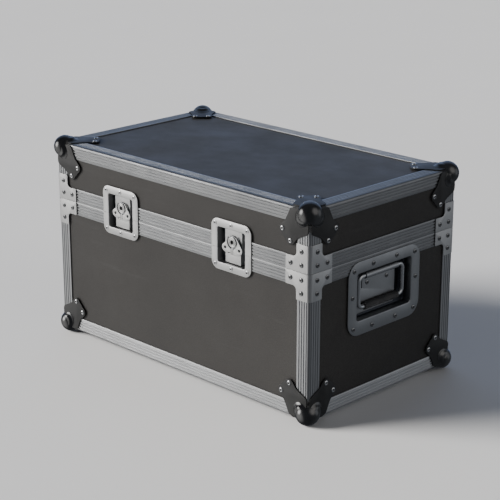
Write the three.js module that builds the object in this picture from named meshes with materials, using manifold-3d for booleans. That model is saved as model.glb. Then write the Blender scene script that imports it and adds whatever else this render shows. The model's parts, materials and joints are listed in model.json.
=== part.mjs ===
// Hard equipment case: plywood panels held in aluminium double-angle edges, with ball corners, two
// recessed butterfly latches, two recessed drop handles and a lid hinged along the back.
// Millimetres, +Z up, front towards -Y. The origin is on the floor, under the middle of the case.

import * as THREE from 'three';
import { mergeVertices } from 'three/addons/utils/BufferGeometryUtils.js';
import Module from 'manifold-3d';

const wasm = await Module();
wasm.setup();

// ---------------------------------------------------------------------------------------------
// Driving dimensions
// ---------------------------------------------------------------------------------------------

const GAP = 0.3; // air between neighbouring pieces

// The box, between the outer faces of its edge extrusions
const CASE_LENGTH = 614;
const CASE_WIDTH = 357;
const CASE_HEIGHT = 351;
const LID_HEIGHT = 104;
const PARTING_GAP = 0.4;

// Plywood panels
const PANEL_THICKNESS = 7;
const PANEL_SINK = 2; // from the extrusion's outer face back to the panel's
const PANEL_RELIEF = 0.2; // floor and top are this much thinner where an edge's leg lies over them

// Double-angle edge extrusions
const EDGE_LEG = 26;
const RIM_LEG = 24;
const INNER_LEG = 22;
const INNER_WALL = 1.5;
const NOSE_RADIUS = 6;
const WELD_OVERLAP = 1; // of a post or a knuckle's neck, into what it is part of

// Tongue of the base rim, in the groove of the lid rim
const TONGUE_START = 4; // from the outer face
const TONGUE_WIDTH = 2.5;
const TONGUE_HEIGHT = 3;
const GROOVE_CLEARANCE = 1;
const BASE_WEB = 2;

// Ball corners
const BALL_RADIUS = 20;
const BALL_INSET = 10; // from each outer face to the ball's centre
const BALL_PLATE = 1.3;
const BALL_LEG_REACH = 57; // furthest rivet of a leg, from the edge
const BALL_LEG_SIDE = 40; // the same rivet, from the other edge
const BALL_LOBE_RADIUS = 7.5;
const BALL_LEG_ROOT = 38; // how far a leg runs beside the edge
const BALL_LEG_INSET = 2.5; // from the edge to the leg's side

// Corner braces at the parting line
const BRACE_PLATE = 1.2;
const BRACE_REACH = 50;
const BRACE_BAND = 24;
const BRACE_POST_WIDTH = 27;
const BRACE_HEIGHT = 46;
const BRACE_FILLET = 7.5;

// Recessed dishes
const DISH_PLATE = 1.2;
const DISH_CLEARANCE = 0.5; // around a dish's pan, in the panel and the extrusion

// Butterfly latches; heights are above the parting line
const LATCH_SPREAD = 272.6; // between the two latches
const LATCH_WIDTH = 91;
const LATCH_ABOVE = 49;
const LATCH_BELOW = 37.3;
const LATCH_CORNER = 15;
const LATCH_WINDOW_WIDTH = 62;
const LATCH_WINDOW_TOP = 34.8;
const LATCH_WINDOW_BOTTOM = -24.4;
const LATCH_DEPTH = 14;
const LATCH_BED_WIDTH = 39;
const LATCH_BED_DEPTH = 6.8;
const TURN_HEIGHT = 5.2; // axis that the butterfly turns on
const CAM_HEIGHT = 13; // middle of the round cam head
const CAM_RADIUS = 11;
const CAM_RING_RADIUS = 6.5;
const CAM_RING_DEPTH = 0.8;
const CAM_FRONT_DEPTH = 0.5;
const DRIVE_RADIUS = 12.5;
const DRIVE_DEPTH = 3.3;
const DRIVE_THICKNESS = 1.4;
const WING_DEPTH = 0.8;
const WING_THICKNESS = 2.2;
const WING_AXIS = 3.2; // from the latch's middle to a wing's hinge axis
const WING_HOLE_SPREAD = 32;
const WING_HOLE_HEIGHT = 2;
const WING_HOLE_RADIUS = 2.5;
const WING_LOBE_RADIUS = 7;
const WING_BOTTOM = -8;
const WING_SHOULDER = 22;
const WING_HEEL = 1; // a wing's lower edge starts to rise this far inside its eye
const WING_CLEARANCE = 0.9; // round the cam head, so that a wing folds out past it
const HOOK_WIDTH = 18;
const HOOK_THICKNESS = 1.4;
const HOOK_TOP = 17;
const HOOK_BOTTOM = -7.5;
const HOOK_SLOT_HEIGHT = 4;
const HOOK_SLOT_SIDE = 3; // metal left beside the slot
const HOOK_FOOT_CORNER = 3;
const HOOK_HEAD_CORNER = 6;

// Recessed drop handles; places are from the middle of the dish
const HANDLE_DROP = 68; // from the parting line down to the dish's middle
const HANDLE_WIDTH = 178;
const HANDLE_HEIGHT = 125;
const HANDLE_CORNER = 26;
const HANDLE_WINDOW_WIDTH = 134;
const HANDLE_WINDOW_HEIGHT = 80;
const HANDLE_WINDOW_RISE = 2;
const HANDLE_WINDOW_CORNER = 5;
const HANDLE_DEPTH = 15.5;
const ROD_RADIUS = 3.75;
const ROD_DEPTH = 7.5; // from the outer face to the rod's axis
const BAIL_WIDTH = 108.5; // between the axes of its two sides
const BAIL_TOP = 32;
const BAIL_BOTTOM = -20;
const BAIL_BEND = 10;
const BAIL_END_GAP = 6;
const GRIP_RADIUS = 6.5;
const GRIP_LENGTH = 84;
const GRIP_CHAMFER_DEPTH = 1;
const GRIP_CHAMFER_LENGTH = 2;
const CRADLE_WIDTH = 80; // of its wrap round the rod
const CRADLE_EAR = 5; // plate left of the wrap, split off by a slit
const CRADLE_BOTTOM = -14;
const CRADLE_WALL = 1.5;
const CRADLE_CLEARANCE = 0.35;
const CRADLE_SLIT_WIDTH = 2;
const CRADLE_SLIT_BOTTOM = 10;
const CRADLE_SLIT_TOP = 26;

// Rear hinges
const HINGE_SPREAD = 340;
const HINGE_WIDTH = 70;
const HINGE_PLATE = 1.8;
const HINGE_REACH = 30; // from the parting line to a leaf's far edge
const HINGE_AXIS_OUT = 4.5; // behind the back face
const KNUCKLE_RADIUS = 3.6;
const KNUCKLE_MIDDLE = 23;
const PIN_RADIUS = 1.6;
const PIN_CLEARANCE = 0.3;

// Foam lining
const FOAM_WALL = 20;
const FOAM_BELOW_PARTING = 2;
const FOAM_CLEARANCE = 1;

// Facets: sides of a full circle
const FINE_SIDES = 20;
const BAR_SIDES = 14;
const SMALL_SIDES = 12;
const PIN_SIDES = 10;
const BALL_SIDES = 16;
const BALL_BANDS = 12; // from pole to pole

const PAST = 1; // how far a cutter runs past the face that it opens

// ---------------------------------------------------------------------------------------------
// Values that follow
// ---------------------------------------------------------------------------------------------

const BOX_BOTTOM = BALL_RADIUS - BALL_INSET;
const BOX_TOP = BOX_BOTTOM + CASE_HEIGHT;
const PARTING = BOX_TOP - LID_HEIGHT;
const HALF_GAP = PARTING_GAP / 2;

const LEG_WALL = PANEL_SINK - GAP;
const CHANNEL = PANEL_SINK + PANEL_THICKNESS + GAP; // from the outer face to the inner leg
const CORE = CHANNEL + INNER_WALL;
const PANEL_EDGE = CORE + GAP; // from an outer face to the edge of the panel beside it

const GROOVE_DEPTH = TONGUE_HEIGHT + GROOVE_CLEARANCE + HALF_GAP;
const LID_WEB = GROOVE_DEPTH + LEG_WALL;

const DISH_FRONT = GAP + DISH_PLATE; // how far a dish's flange stands out of the outer face
const HALF_SPREAD = LATCH_SPREAD / 2;
const HANDLE_MIDDLE = PARTING - HANDLE_DROP;
const FOAM_FACE = CORE + GAP; // from the outer face to the foam

// ---------------------------------------------------------------------------------------------
// Geometry helpers
// ---------------------------------------------------------------------------------------------

/** A closed geometry as a solid that can be cut and joined. */
function solid(geometry) {
  const bare = geometry.clone();
  bare.deleteAttribute('normal');
  bare.deleteAttribute('uv');
  const merged = mergeVertices(bare, 1e-4);
  const corners = [];
  for (let i = 0; i < merged.index.count; i += 3) {
    const [a, b, c] = [0, 1, 2].map((k) => merged.index.getX(i + k));
    if (a !== b && b !== c && c !== a) corners.push(a, b, c);
  }
  const vertProperties = new Float32Array(merged.attributes.position.array);
  const mesh = new wasm.Mesh({ numProp: 3, vertProperties, triVerts: new Uint32Array(corners) });
  mesh.merge();
  return new wasm.Manifold(mesh);
}

/** The geometry of a finished solid. */
function geometryOf(body) {
  const mesh = body.getMesh();
  const geometry = new THREE.BufferGeometry();
  geometry.setAttribute('position', new THREE.BufferAttribute(new Float32Array(mesh.vertProperties), 3));
  geometry.setIndex(new THREE.BufferAttribute(new Uint32Array(mesh.triVerts), 1));
  geometry.computeVertexNormals();
  return geometry;
}

/** A block between two corners. */
function block([x0, y0, z0], [x1, y1, z1]) {
  const geometry = new THREE.BoxGeometry(x1 - x0, y1 - y0, z1 - z0);
  geometry.translate((x0 + x1) / 2, (y0 + y1) / 2, (z0 + z1) / 2);
  return solid(geometry);
}

/** A flat outline given a thickness, from z0 up to z1. */
function slab(shape, z0, z1, curveSegments = 4) {
  const geometry = new THREE.ExtrudeGeometry(shape, { depth: z1 - z0, bevelEnabled: false, curveSegments });
  geometry.translate(0, 0, z0);
  return solid(geometry);
}

/** A round bar along Z, from z0 up to z1. */
function bar(radius, x, y, z0, z1) {
  const geometry = new THREE.CylinderGeometry(radius, radius, z1 - z0, FINE_SIDES);
  geometry.rotateX(Math.PI / 2);
  geometry.translate(x, y, (z0 + z1) / 2);
  return solid(geometry);
}

/** A round bar along X. */
function crossBar(radius, x0, x1, y, z, sides = BAR_SIDES) {
  const geometry = new THREE.CylinderGeometry(radius, radius, x1 - x0, sides);
  geometry.rotateZ(Math.PI / 2);
  geometry.translate((x0 + x1) / 2, y, z);
  return solid(geometry);
}

function polygon(points) {
  return new THREE.Shape(points.map(([x, y]) => new THREE.Vector2(x, y)));
}

/** A rectangle with rounded corners. Radii: [left bottom, right bottom, right top, left top]. */
function roundedRectangle(x0, y0, x1, y1, [lb, rb, rt, lt]) {
  const shape = new THREE.Shape();
  shape.moveTo(x0 + lb, y0);
  shape.lineTo(x1 - rb, y0);
  if (rb > 0) shape.absarc(x1 - rb, y0 + rb, rb, -Math.PI / 2, 0, false);
  shape.lineTo(x1, y1 - rt);
  if (rt > 0) shape.absarc(x1 - rt, y1 - rt, rt, 0, Math.PI / 2, false);
  shape.lineTo(x0 + lt, y1);
  if (lt > 0) shape.absarc(x0 + lt, y1 - lt, lt, Math.PI / 2, Math.PI, false);
  shape.lineTo(x0, y0 + lb);
  if (lb > 0) shape.absarc(x0 + lb, y0 + lb, lb, Math.PI, 1.5 * Math.PI, false);
  return shape;
}

/** The case's plan outline, set in by d, with the same number of points for every d. */
function planOutline(d, arcSegments = 2) {
  const radius = Math.max(NOSE_RADIUS - d, 0);
  const halfX = CASE_LENGTH / 2 - d - radius;
  const halfY = CASE_WIDTH / 2 - d - radius;
  const points = [];
  for (const [quarter, sx, sy] of [[0, 1, 1], [1, -1, 1], [2, -1, -1], [3, 1, -1]]) {
    for (let i = 0; i <= arcSegments; i += 1) {
      const angle = ((quarter + i / arcSegments) * Math.PI) / 2;
      points.push([sx * halfX + radius * Math.cos(angle), sy * halfY + radius * Math.sin(angle)]);
    }
  }
  return points;
}

/** A mitred frame: a profile of [distance in from the outer face, height] carried round the plan. */
function ringFrame(profile) {
  const area = THREE.ShapeUtils.area(profile.map(([d, z]) => new THREE.Vector2(d, z)));
  const loop = area > 0 ? profile : [...profile].reverse();
  const positions = [];
  for (const [d, z] of loop) {
    for (const [x, y] of planOutline(d)) positions.push(x, y, z);
  }
  const around = planOutline(0).length;
  const index = [];
  for (let i = 0; i < loop.length; i += 1) {
    const next = (i + 1) % loop.length;
    for (let j = 0; j < around; j += 1) {
      const beside = (j + 1) % around;
      const [a, b, c, e] = [i * around + j, i * around + beside, next * around + beside, next * around + j];
      index.push(a, e, b, b, e, c);
    }
  }
  const geometry = new THREE.BufferGeometry();
  geometry.setAttribute('position', new THREE.Float32BufferAttribute(positions, 3));
  geometry.setIndex(index);
  return solid(geometry);
}

/** The round nose of an edge, from its first leg round to its second. */
function noseArc(radius = NOSE_RADIUS, centre = NOSE_RADIUS, segments = 3) {
  const points = [];
  for (let i = 0; i <= segments; i += 1) {
    const angle = Math.PI + ((i / segments) * Math.PI) / 2;
    points.push([centre + radius * Math.cos(angle), centre + radius * Math.sin(angle)]);
  }
  return points;
}

/** Section of a double-angle edge: two outer legs, a solid core behind the nose and two inner legs. */
function doubleAngle() {
  return [
    ...noseArc(),
    [EDGE_LEG, 0],
    [EDGE_LEG, LEG_WALL],
    [CORE, LEG_WALL],
    [CORE, CHANNEL],
    [INNER_LEG, CHANNEL],
    [INNER_LEG, CORE],
    [CORE, CORE],
    [CORE, INNER_LEG],
    [CHANNEL, INNER_LEG],
    [CHANNEL, CORE],
    [LEG_WALL, CORE],
    [LEG_WALL, EDGE_LEG],
    [0, EDGE_LEG],
  ];
}

// ---------------------------------------------------------------------------------------------
// Placing
// ---------------------------------------------------------------------------------------------

const FRONT = 0;
const RIGHT = Math.PI / 2;
const BACK = Math.PI;
const LEFT = -Math.PI / 2;

const model = new THREE.Group();
model.name = 'equipment_case';

/** Half the case's size out of a face that looks along the angle. */
function faceDistance(angle) {
  return angle === FRONT || angle === BACK ? CASE_WIDTH / 2 : CASE_LENGTH / 2;
}

/** Half the case's size along that face. */
function faceHalfSpan(angle) {
  return angle === FRONT || angle === BACK ? CASE_LENGTH / 2 : CASE_WIDTH / 2;
}

/** A frame on a side face: X to the right seen from outside, Y up, Z out, and 0 on the outer face. */
function faceGroup(angle, along, height) {
  const turn = new THREE.Group();
  turn.rotation.z = angle;
  const face = new THREE.Group();
  face.rotation.x = Math.PI / 2;
  face.position.set(along, -faceDistance(angle), height);
  turn.add(face);
  model.add(turn);
  return face;
}

/** A frame on a lower corner: origin on the three outer faces, axes pointing into the case. */
function cornerGroup([, sx, sy, quarters], z, upsideDown) {
  const corner = new THREE.Group();
  corner.position.set((sx * CASE_LENGTH) / 2, (sy * CASE_WIDTH) / 2, z);
  corner.rotation.z = (quarters * Math.PI) / 2;
  model.add(corner);
  if (!upsideDown) return corner;
  const flipped = new THREE.Group();
  flipped.quaternion.setFromAxisAngle(new THREE.Vector3(1, 1, 0).normalize(), Math.PI);
  corner.add(flipped);
  return flipped;
}

// Name, side along X, side along Y, and quarter turns from the front left corner
const CORNERS = [
  ['front_left', -1, -1, 0],
  ['front_right', 1, -1, 1],
  ['back_right', 1, 1, 2],
  ['back_left', -1, 1, 3],
];

const SIDES = [
  ['front', FRONT],
  ['right', RIGHT],
  ['back', BACK],
  ['left', LEFT],
];

function finish(color, roughness, metalness) {
  return () => new THREE.MeshStandardMaterial({ color, roughness, metalness });
}

const laminate = finish(0x3b3a39, 0.55, 0);
const aluminium = finish(0xb4b7ba, 0.38, 1);
const blackSteel = finish(0x101113, 0.2, 0.1);
const zinc = finish(0xc4c7c9, 0.35, 1);
const greyZinc = finish(0x868c92, 0.42, 1);
const rubber = finish(0x141516, 0.75, 0);
const foam = finish(0x2a2b2d, 0.95, 0);

/** Puts a finished solid in the model under its own name. */
function place(name, body, material, parent = model) {
  const mesh = new THREE.Mesh(geometryOf(body), material());
  mesh.name = name;
  parent.add(mesh);
  return mesh;
}

// ---------------------------------------------------------------------------------------------
// Panels
// ---------------------------------------------------------------------------------------------

/** Plywood of a side, with its pockets cut: from z0 up to z1, in the frame of its face. */
function sidePanel(angle, z0, z1, pockets) {
  const half = faceHalfSpan(angle) - PANEL_EDGE;
  let panel = block([-half, z0, -PANEL_SINK - PANEL_THICKNESS], [half, z1, -PANEL_SINK]);
  for (const pocket of pockets) panel = panel.subtract(pocket);
  return panel;
}

/** Floor or top, between its inner and outer heights. Its field stands proud of the covered border. */
function flatPanel(inner, outer) {
  const sheet = (margin, face) => {
    const halfX = CASE_LENGTH / 2 - margin;
    const halfY = CASE_WIDTH / 2 - margin;
    return block([-halfX, -halfY, Math.min(inner, face)], [halfX, halfY, Math.max(inner, face)]);
  };
  const border = sheet(PANEL_EDGE, outer - Math.sign(outer - inner) * PANEL_RELIEF);
  return border.add(sheet(EDGE_LEG + GAP, outer));
}

/** Room that a latch's pan needs in the front, for both halves. */
function latchPocket(x, spare = DISH_CLEARANCE) {
  const half = LATCH_WINDOW_WIDTH / 2 + DISH_PLATE + spare;
  const low = LATCH_WINDOW_BOTTOM - DISH_PLATE - spare;
  const high = LATCH_WINDOW_TOP + DISH_PLATE + spare;
  return block([x - half, PARTING + low, -LATCH_DEPTH - DISH_PLATE - spare], [x + half, PARTING + high, GAP]);
}

/** Room that a handle's pan needs in an end. */
function handlePocket(spare = DISH_CLEARANCE) {
  const half = HANDLE_WINDOW_WIDTH / 2 + DISH_PLATE + spare;
  const middle = HANDLE_MIDDLE + HANDLE_WINDOW_RISE;
  const halfHeight = HANDLE_WINDOW_HEIGHT / 2 + DISH_PLATE + spare;
  const deep = -HANDLE_DEPTH - DISH_PLATE - spare;
  return block([-half, middle - halfHeight, deep], [half, middle + halfHeight, GAP]);
}

function addPanels() {
  const latchPockets = [latchPocket(-HALF_SPREAD), latchPocket(HALF_SPREAD)];
  for (const [side, angle] of SIDES) {
    const face = faceGroup(angle, 0, 0);
    const lidPockets = side === 'front' ? latchPockets : [];
    const isEnd = side === 'left' || side === 'right';
    const basePockets = isEnd ? [handlePocket()] : lidPockets;
    const base = sidePanel(angle, BOX_BOTTOM + PANEL_EDGE, PARTING - BASE_WEB - GAP, basePockets);
    const lid = sidePanel(angle, PARTING + LID_WEB + GAP, BOX_TOP - PANEL_EDGE, lidPockets);
    place(`base_${side}_panel`, base, laminate, face);
    place(`lid_${side}_panel`, lid, laminate, face);
  }
  const floor = BOX_BOTTOM + PANEL_SINK;
  const top = BOX_TOP - PANEL_SINK;
  place('base_floor_panel', flatPanel(floor + PANEL_THICKNESS, floor), laminate);
  place('lid_top_panel', flatPanel(top - PANEL_THICKNESS, top), laminate);
}

// ---------------------------------------------------------------------------------------------
// Edge extrusions
// ---------------------------------------------------------------------------------------------

/** A latch pocket in the case's own frame. */
function latchPocketInCase(x, spare) {
  return latchPocket(x, spare).rotate([90, 0, 0]).translate([0, -CASE_WIDTH / 2, 0]);
}

/** A handle pocket in the case's own frame, on the right end or, turned round, on the left. */
function handlePocketInCase(quarters, spare) {
  return handlePocket(spare)
    .rotate([90, 0, 0])
    .translate([0, -CASE_LENGTH / 2, 0])
    .rotate([0, 0, quarters * 90]);
}

/** A frame of mitred edges with the four posts that are welded into its corners. */
function cornerFrame(edge, edgeHeight, postLow, postHigh) {
  let frame = ringFrame(doubleAngle().map(([d, h]) => [d, edgeHeight(h)]));
  for (const [, sx, sy, quarters] of CORNERS) {
    const post = slab(polygon(doubleAngle()), postLow, postHigh)
      .rotate([0, 0, quarters * 90])
      .translate([(sx * CASE_LENGTH) / 2, (sy * CASE_WIDTH) / 2, 0]);
    frame = frame.add(post);
  }
  place(`${edge}_frame`, frame, aluminium);
}

function addFrames() {
  const low = BOX_BOTTOM + EDGE_LEG - WELD_OVERLAP;
  const high = BOX_TOP - EDGE_LEG + WELD_OVERLAP;
  cornerFrame('base_bottom', (h) => BOX_BOTTOM + h, low, PARTING - RIM_LEG - GAP);
  cornerFrame('lid_top', (h) => BOX_TOP - h, PARTING + RIM_LEG + GAP, high);
}

/** Rim section: distance in from the outer face, and height above the parting line. */
function lidRimProfile() {
  const grooveStart = TONGUE_START - GROOVE_CLEARANCE;
  const grooveEnd = TONGUE_START + TONGUE_WIDTH + GROOVE_CLEARANCE;
  return [
    [0, HALF_GAP],
    [0, RIM_LEG],
    [LEG_WALL, RIM_LEG],
    [LEG_WALL, LID_WEB],
    [CHANNEL, LID_WEB],
    [CHANNEL, INNER_LEG],
    [CORE, INNER_LEG],
    [CORE, HALF_GAP],
    [grooveEnd, HALF_GAP],
    [grooveEnd, GROOVE_DEPTH],
    [grooveStart, GROOVE_DEPTH],
    [grooveStart, HALF_GAP],
  ];
}

function baseRimProfile() {
  const tongueEnd = TONGUE_START + TONGUE_WIDTH;
  return [
    [0, -HALF_GAP],
    [0, -RIM_LEG],
    [LEG_WALL, -RIM_LEG],
    [LEG_WALL, -BASE_WEB],
    [CHANNEL, -BASE_WEB],
    [CHANNEL, -INNER_LEG],
    [CORE, -INNER_LEG],
    [CORE, -HALF_GAP],
    [tongueEnd, -HALF_GAP],
    [tongueEnd, TONGUE_HEIGHT],
    [TONGUE_START, TONGUE_HEIGHT],
    [TONGUE_START, -HALF_GAP],
  ];
}

function addRims() {
  const rims = { lid: lidRimProfile(), base: baseRimProfile() };
  for (const [half, profile] of Object.entries(rims)) {
    let rim = ringFrame(profile.map(([d, h]) => [d, PARTING + h]));
    for (const x of [-HALF_SPREAD, HALF_SPREAD]) rim = rim.subtract(latchPocketInCase(x));
    const front = -CASE_WIDTH / 2;
    const betweenLatches = block(
      [-HALF_SPREAD, front - GAP, PARTING - RIM_LEG - GAP],
      [HALF_SPREAD, front + CORE + GAP, PARTING + RIM_LEG + GAP],
    );
    place(`${half}_rim_frame`, rim.subtract(betweenLatches), aluminium);
    place(`${half}_rim_front_bar`, rim.intersect(betweenLatches), aluminium);
  }
}

// ---------------------------------------------------------------------------------------------
// Corner hardware
// ---------------------------------------------------------------------------------------------

/** One leg of a ball corner: beside both edges, then out to two round lobes, one for each rivet. */
function ballLegShape() {
  const shape = new THREE.Shape();
  const lobe = BALL_LOBE_RADIUS;
  shape.moveTo(BALL_LEG_INSET, BALL_LEG_INSET);
  shape.lineTo(BALL_LEG_ROOT, BALL_LEG_INSET);
  shape.lineTo(BALL_LEG_REACH, BALL_LEG_SIDE - lobe);
  shape.absarc(BALL_LEG_REACH, BALL_LEG_SIDE, lobe, -Math.PI / 3, Math.PI / 2, false);
  shape.lineTo(BALL_LEG_REACH - lobe / 2, BALL_LEG_REACH - lobe / 2);
  shape.absarc(BALL_LEG_SIDE, BALL_LEG_REACH, lobe, 0, (5 * Math.PI) / 6, false);
  shape.lineTo(BALL_LEG_INSET, BALL_LEG_ROOT);
  return shape;
}

/** Ball corner for a lower corner: a ball outside the box and three legs, one on each face. */
function ballCorner() {
  const ball = new THREE.SphereGeometry(BALL_RADIUS, BALL_SIDES, BALL_BANDS);
  ball.translate(BALL_INSET, BALL_INSET, BALL_INSET);
  const flat = () => slab(ballLegShape(), -GAP - BALL_PLATE, -GAP);
  let body = solid(ball);
  body = body.add(flat());
  body = body.add(flat().rotate([90, 0, 90]));
  body = body.add(flat().rotate([-90, -90, 0]));
  const past = BALL_LEG_REACH + 2 * BALL_RADIUS;
  return body.subtract(block([-GAP, -GAP, -GAP], [past, past, past]));
}

/** Brace for the base side of the parting line: a band along both rims and a leg down the post. */
function cornerBrace() {
  const out = GAP + BRACE_PLATE;
  const outer = noseArc(NOSE_RADIUS + out, NOSE_RADIUS);
  const inner = noseArc(NOSE_RADIUS + GAP, NOSE_RADIUS).reverse();
  const plan = polygon([
    ...outer,
    [BRACE_REACH, -out],
    [BRACE_REACH, -GAP],
    ...inner,
    [-GAP, BRACE_REACH],
    [-out, BRACE_REACH],
  ]);
  const band = slab(plan, -BRACE_HEIGHT, -HALF_GAP);
  const notch = new THREE.Shape();
  const past = BRACE_HEIGHT + BRACE_REACH;
  notch.moveTo(BRACE_POST_WIDTH, -past);
  notch.lineTo(past, -past);
  notch.lineTo(past, -BRACE_BAND);
  notch.lineTo(BRACE_POST_WIDTH + BRACE_FILLET, -BRACE_BAND);
  notch.absarc(
    BRACE_POST_WIDTH + BRACE_FILLET,
    -BRACE_BAND - BRACE_FILLET,
    BRACE_FILLET,
    Math.PI / 2,
    Math.PI,
    false,
  );
  const cut = slab(notch, -GAP, 2 * out).rotate([90, 0, 0]);
  const otherCut = slab(notch, -2 * out, GAP).rotate([90, 0, 90]);
  return band.subtract(cut).subtract(otherCut);
}

function addCorners() {
  for (const corner of CORNERS) {
    const [where] = corner;
    place(`base_ball_corner_${where}`, ballCorner(), blackSteel, cornerGroup(corner, BOX_BOTTOM, false));
    place(`lid_ball_corner_${where}`, ballCorner(), blackSteel, cornerGroup(corner, BOX_TOP, true));
    place(`base_brace_${where}`, cornerBrace(), zinc, cornerGroup(corner, PARTING, false));
    place(`lid_brace_${where}`, cornerBrace(), zinc, cornerGroup(corner, PARTING, true));
  }
}

// ---------------------------------------------------------------------------------------------
// Latches, each in a frame whose origin is on the parting line and on the outer face
// ---------------------------------------------------------------------------------------------

/** Half of a latch's dish between two heights, with the bed that its mechanism or keeper stands on. */
function latchDish(flangeShape, low, high, bedLow, bedHigh) {
  const half = LATCH_WINDOW_WIDTH / 2;
  const floor = -LATCH_DEPTH;
  const reach = DISH_PLATE;
  const panLow = Math.max(low, LATCH_WINDOW_BOTTOM - reach);
  const panHigh = Math.min(high, LATCH_WINDOW_TOP + reach);
  const flange = slab(flangeShape, GAP, DISH_FRONT);
  const pan = block([-half - reach, panLow, floor - reach], [half + reach, panHigh, DISH_FRONT]);
  const hollowLow = Math.max(low - PAST, LATCH_WINDOW_BOTTOM);
  const hollowHigh = Math.min(high + PAST, LATCH_WINDOW_TOP);
  const hollow = block([-half, hollowLow, floor], [half, hollowHigh, DISH_FRONT + PAST]);
  const bed = block(
    [-LATCH_BED_WIDTH / 2, bedLow, floor - reach],
    [LATCH_BED_WIDTH / 2, bedHigh, -LATCH_BED_DEPTH],
  );
  return flange.add(pan).subtract(hollow).add(bed);
}

function lidLatchDish() {
  const half = LATCH_WIDTH / 2;
  const flange = roundedRectangle(-half, HALF_GAP, half, LATCH_ABOVE, [0, 0, LATCH_CORNER, LATCH_CORNER]);
  return latchDish(flange, HALF_GAP, LATCH_ABOVE, HALF_GAP, LATCH_WINDOW_TOP + DISH_PLATE);
}

function baseLatchDish() {
  const half = LATCH_WIDTH / 2;
  const flange = roundedRectangle(-half, -LATCH_BELOW, half, -HALF_GAP, [LATCH_CORNER, LATCH_CORNER, 0, 0]);
  return latchDish(flange, -LATCH_BELOW, -HALF_GAP, LATCH_WINDOW_BOTTOM - DISH_PLATE, -HALF_GAP);
}

/** Turning disc behind the wings, with the round cam head that stands off its middle. */
function latchDrive() {
  const disc = bar(DRIVE_RADIUS, 0, TURN_HEIGHT, -DRIVE_DEPTH - DRIVE_THICKNESS, -DRIVE_DEPTH);
  const cam = bar(CAM_RADIUS, 0, CAM_HEIGHT, -DRIVE_DEPTH - DRIVE_THICKNESS, -CAM_FRONT_DEPTH);
  const ringBottom = -CAM_FRONT_DEPTH - CAM_RING_DEPTH;
  const ring = bar(CAM_RING_RADIUS, 0, CAM_HEIGHT, ringBottom, PAST);
  return disc.add(cam).subtract(ring);
}

/** Right wing: hinged beside the middle, cut round for the cam head, with an eye at its end. */
function latchWing() {
  const eye = WING_HOLE_SPREAD / 2;
  const lobe = WING_LOBE_RADIUS;
  const shape = new THREE.Shape();
  shape.moveTo(WING_AXIS, WING_BOTTOM);
  shape.lineTo(eye - WING_HEEL, WING_BOTTOM);
  shape.lineTo(eye, WING_HOLE_HEIGHT - lobe);
  shape.absarc(eye, WING_HOLE_HEIGHT, lobe, -Math.PI / 2, Math.PI / 3, false);
  shape.lineTo(CAM_RADIUS, WING_SHOULDER);
  shape.lineTo(WING_AXIS, WING_SHOULDER);
  const hole = new THREE.Path();
  hole.absarc(eye, WING_HOLE_HEIGHT, WING_HOLE_RADIUS, 0, 2 * Math.PI, true);
  shape.holes.push(hole);
  const back = -WING_DEPTH - WING_THICKNESS;
  const radius = WING_THICKNESS / 2;
  const knuckle = new THREE.CylinderGeometry(radius, radius, -WING_BOTTOM, SMALL_SIDES);
  knuckle.translate(WING_AXIS, WING_BOTTOM / 2, (back - WING_DEPTH) / 2);
  const camRoom = bar(CAM_RADIUS + WING_CLEARANCE, 0, CAM_HEIGHT, back - PAST, PAST);
  return slab(shape, back, -WING_DEPTH).add(solid(knuckle)).subtract(camRoom);
}

/** Flat hook that the cam draws up; it runs between the disc and the beds. */
function latchHook() {
  const half = HOOK_WIDTH / 2;
  const back = -LATCH_BED_DEPTH + GAP;
  const radii = [HOOK_FOOT_CORNER, HOOK_FOOT_CORNER, HOOK_HEAD_CORNER, HOOK_HEAD_CORNER];
  const plate = roundedRectangle(-half, HOOK_BOTTOM, half, HOOK_TOP, radii);
  const slotHalf = half - HOOK_SLOT_SIDE;
  const slot = block(
    [-slotHalf, CAM_HEIGHT - HOOK_SLOT_HEIGHT / 2, back - PAST],
    [slotHalf, CAM_HEIGHT + HOOK_SLOT_HEIGHT / 2, 0],
  );
  return slab(plate, back, back + HOOK_THICKNESS).subtract(slot);
}

function addLatches() {
  for (const [which, x] of [['left', -HALF_SPREAD], ['right', HALF_SPREAD]]) {
    const latch = faceGroup(FRONT, x, PARTING);
    place(`latch_lid_dish_${which}`, lidLatchDish(), zinc, latch);
    place(`latch_base_dish_${which}`, baseLatchDish(), zinc, latch);
    place(`latch_drive_${which}`, latchDrive(), zinc, latch);
    place(`latch_hook_${which}`, latchHook(), zinc, latch);
    place(`latch_wing_right_of_${which}`, latchWing(), zinc, latch);
    place(`latch_wing_left_of_${which}`, latchWing().mirror([1, 0, 0]), zinc, latch);
  }
}

// ---------------------------------------------------------------------------------------------
// Handles, each in a frame whose origin is at the dish's middle and on the outer face
// ---------------------------------------------------------------------------------------------

function handleDish() {
  const halfWidth = HANDLE_WIDTH / 2;
  const halfHeight = HANDLE_HEIGHT / 2;
  const corners = Array(4).fill(HANDLE_CORNER);
  const flangeShape = roundedRectangle(-halfWidth, -halfHeight, halfWidth, halfHeight, corners);
  const flange = slab(flangeShape, GAP, DISH_FRONT);
  const w = HANDLE_WINDOW_WIDTH / 2;
  const low = HANDLE_WINDOW_RISE - HANDLE_WINDOW_HEIGHT / 2;
  const high = HANDLE_WINDOW_RISE + HANDLE_WINDOW_HEIGHT / 2;
  const r = HANDLE_WINDOW_CORNER;
  const t = DISH_PLATE;
  const panShape = roundedRectangle(-w - t, low - t, w + t, high + t, Array(4).fill(r + t));
  const hollowShape = roundedRectangle(-w, low, w, high, Array(4).fill(r));
  const pan = slab(panShape, -HANDLE_DEPTH - t, DISH_FRONT);
  const hollow = slab(hollowShape, -HANDLE_DEPTH, DISH_FRONT + PAST);
  return flange.add(pan).subtract(hollow);
}

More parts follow.
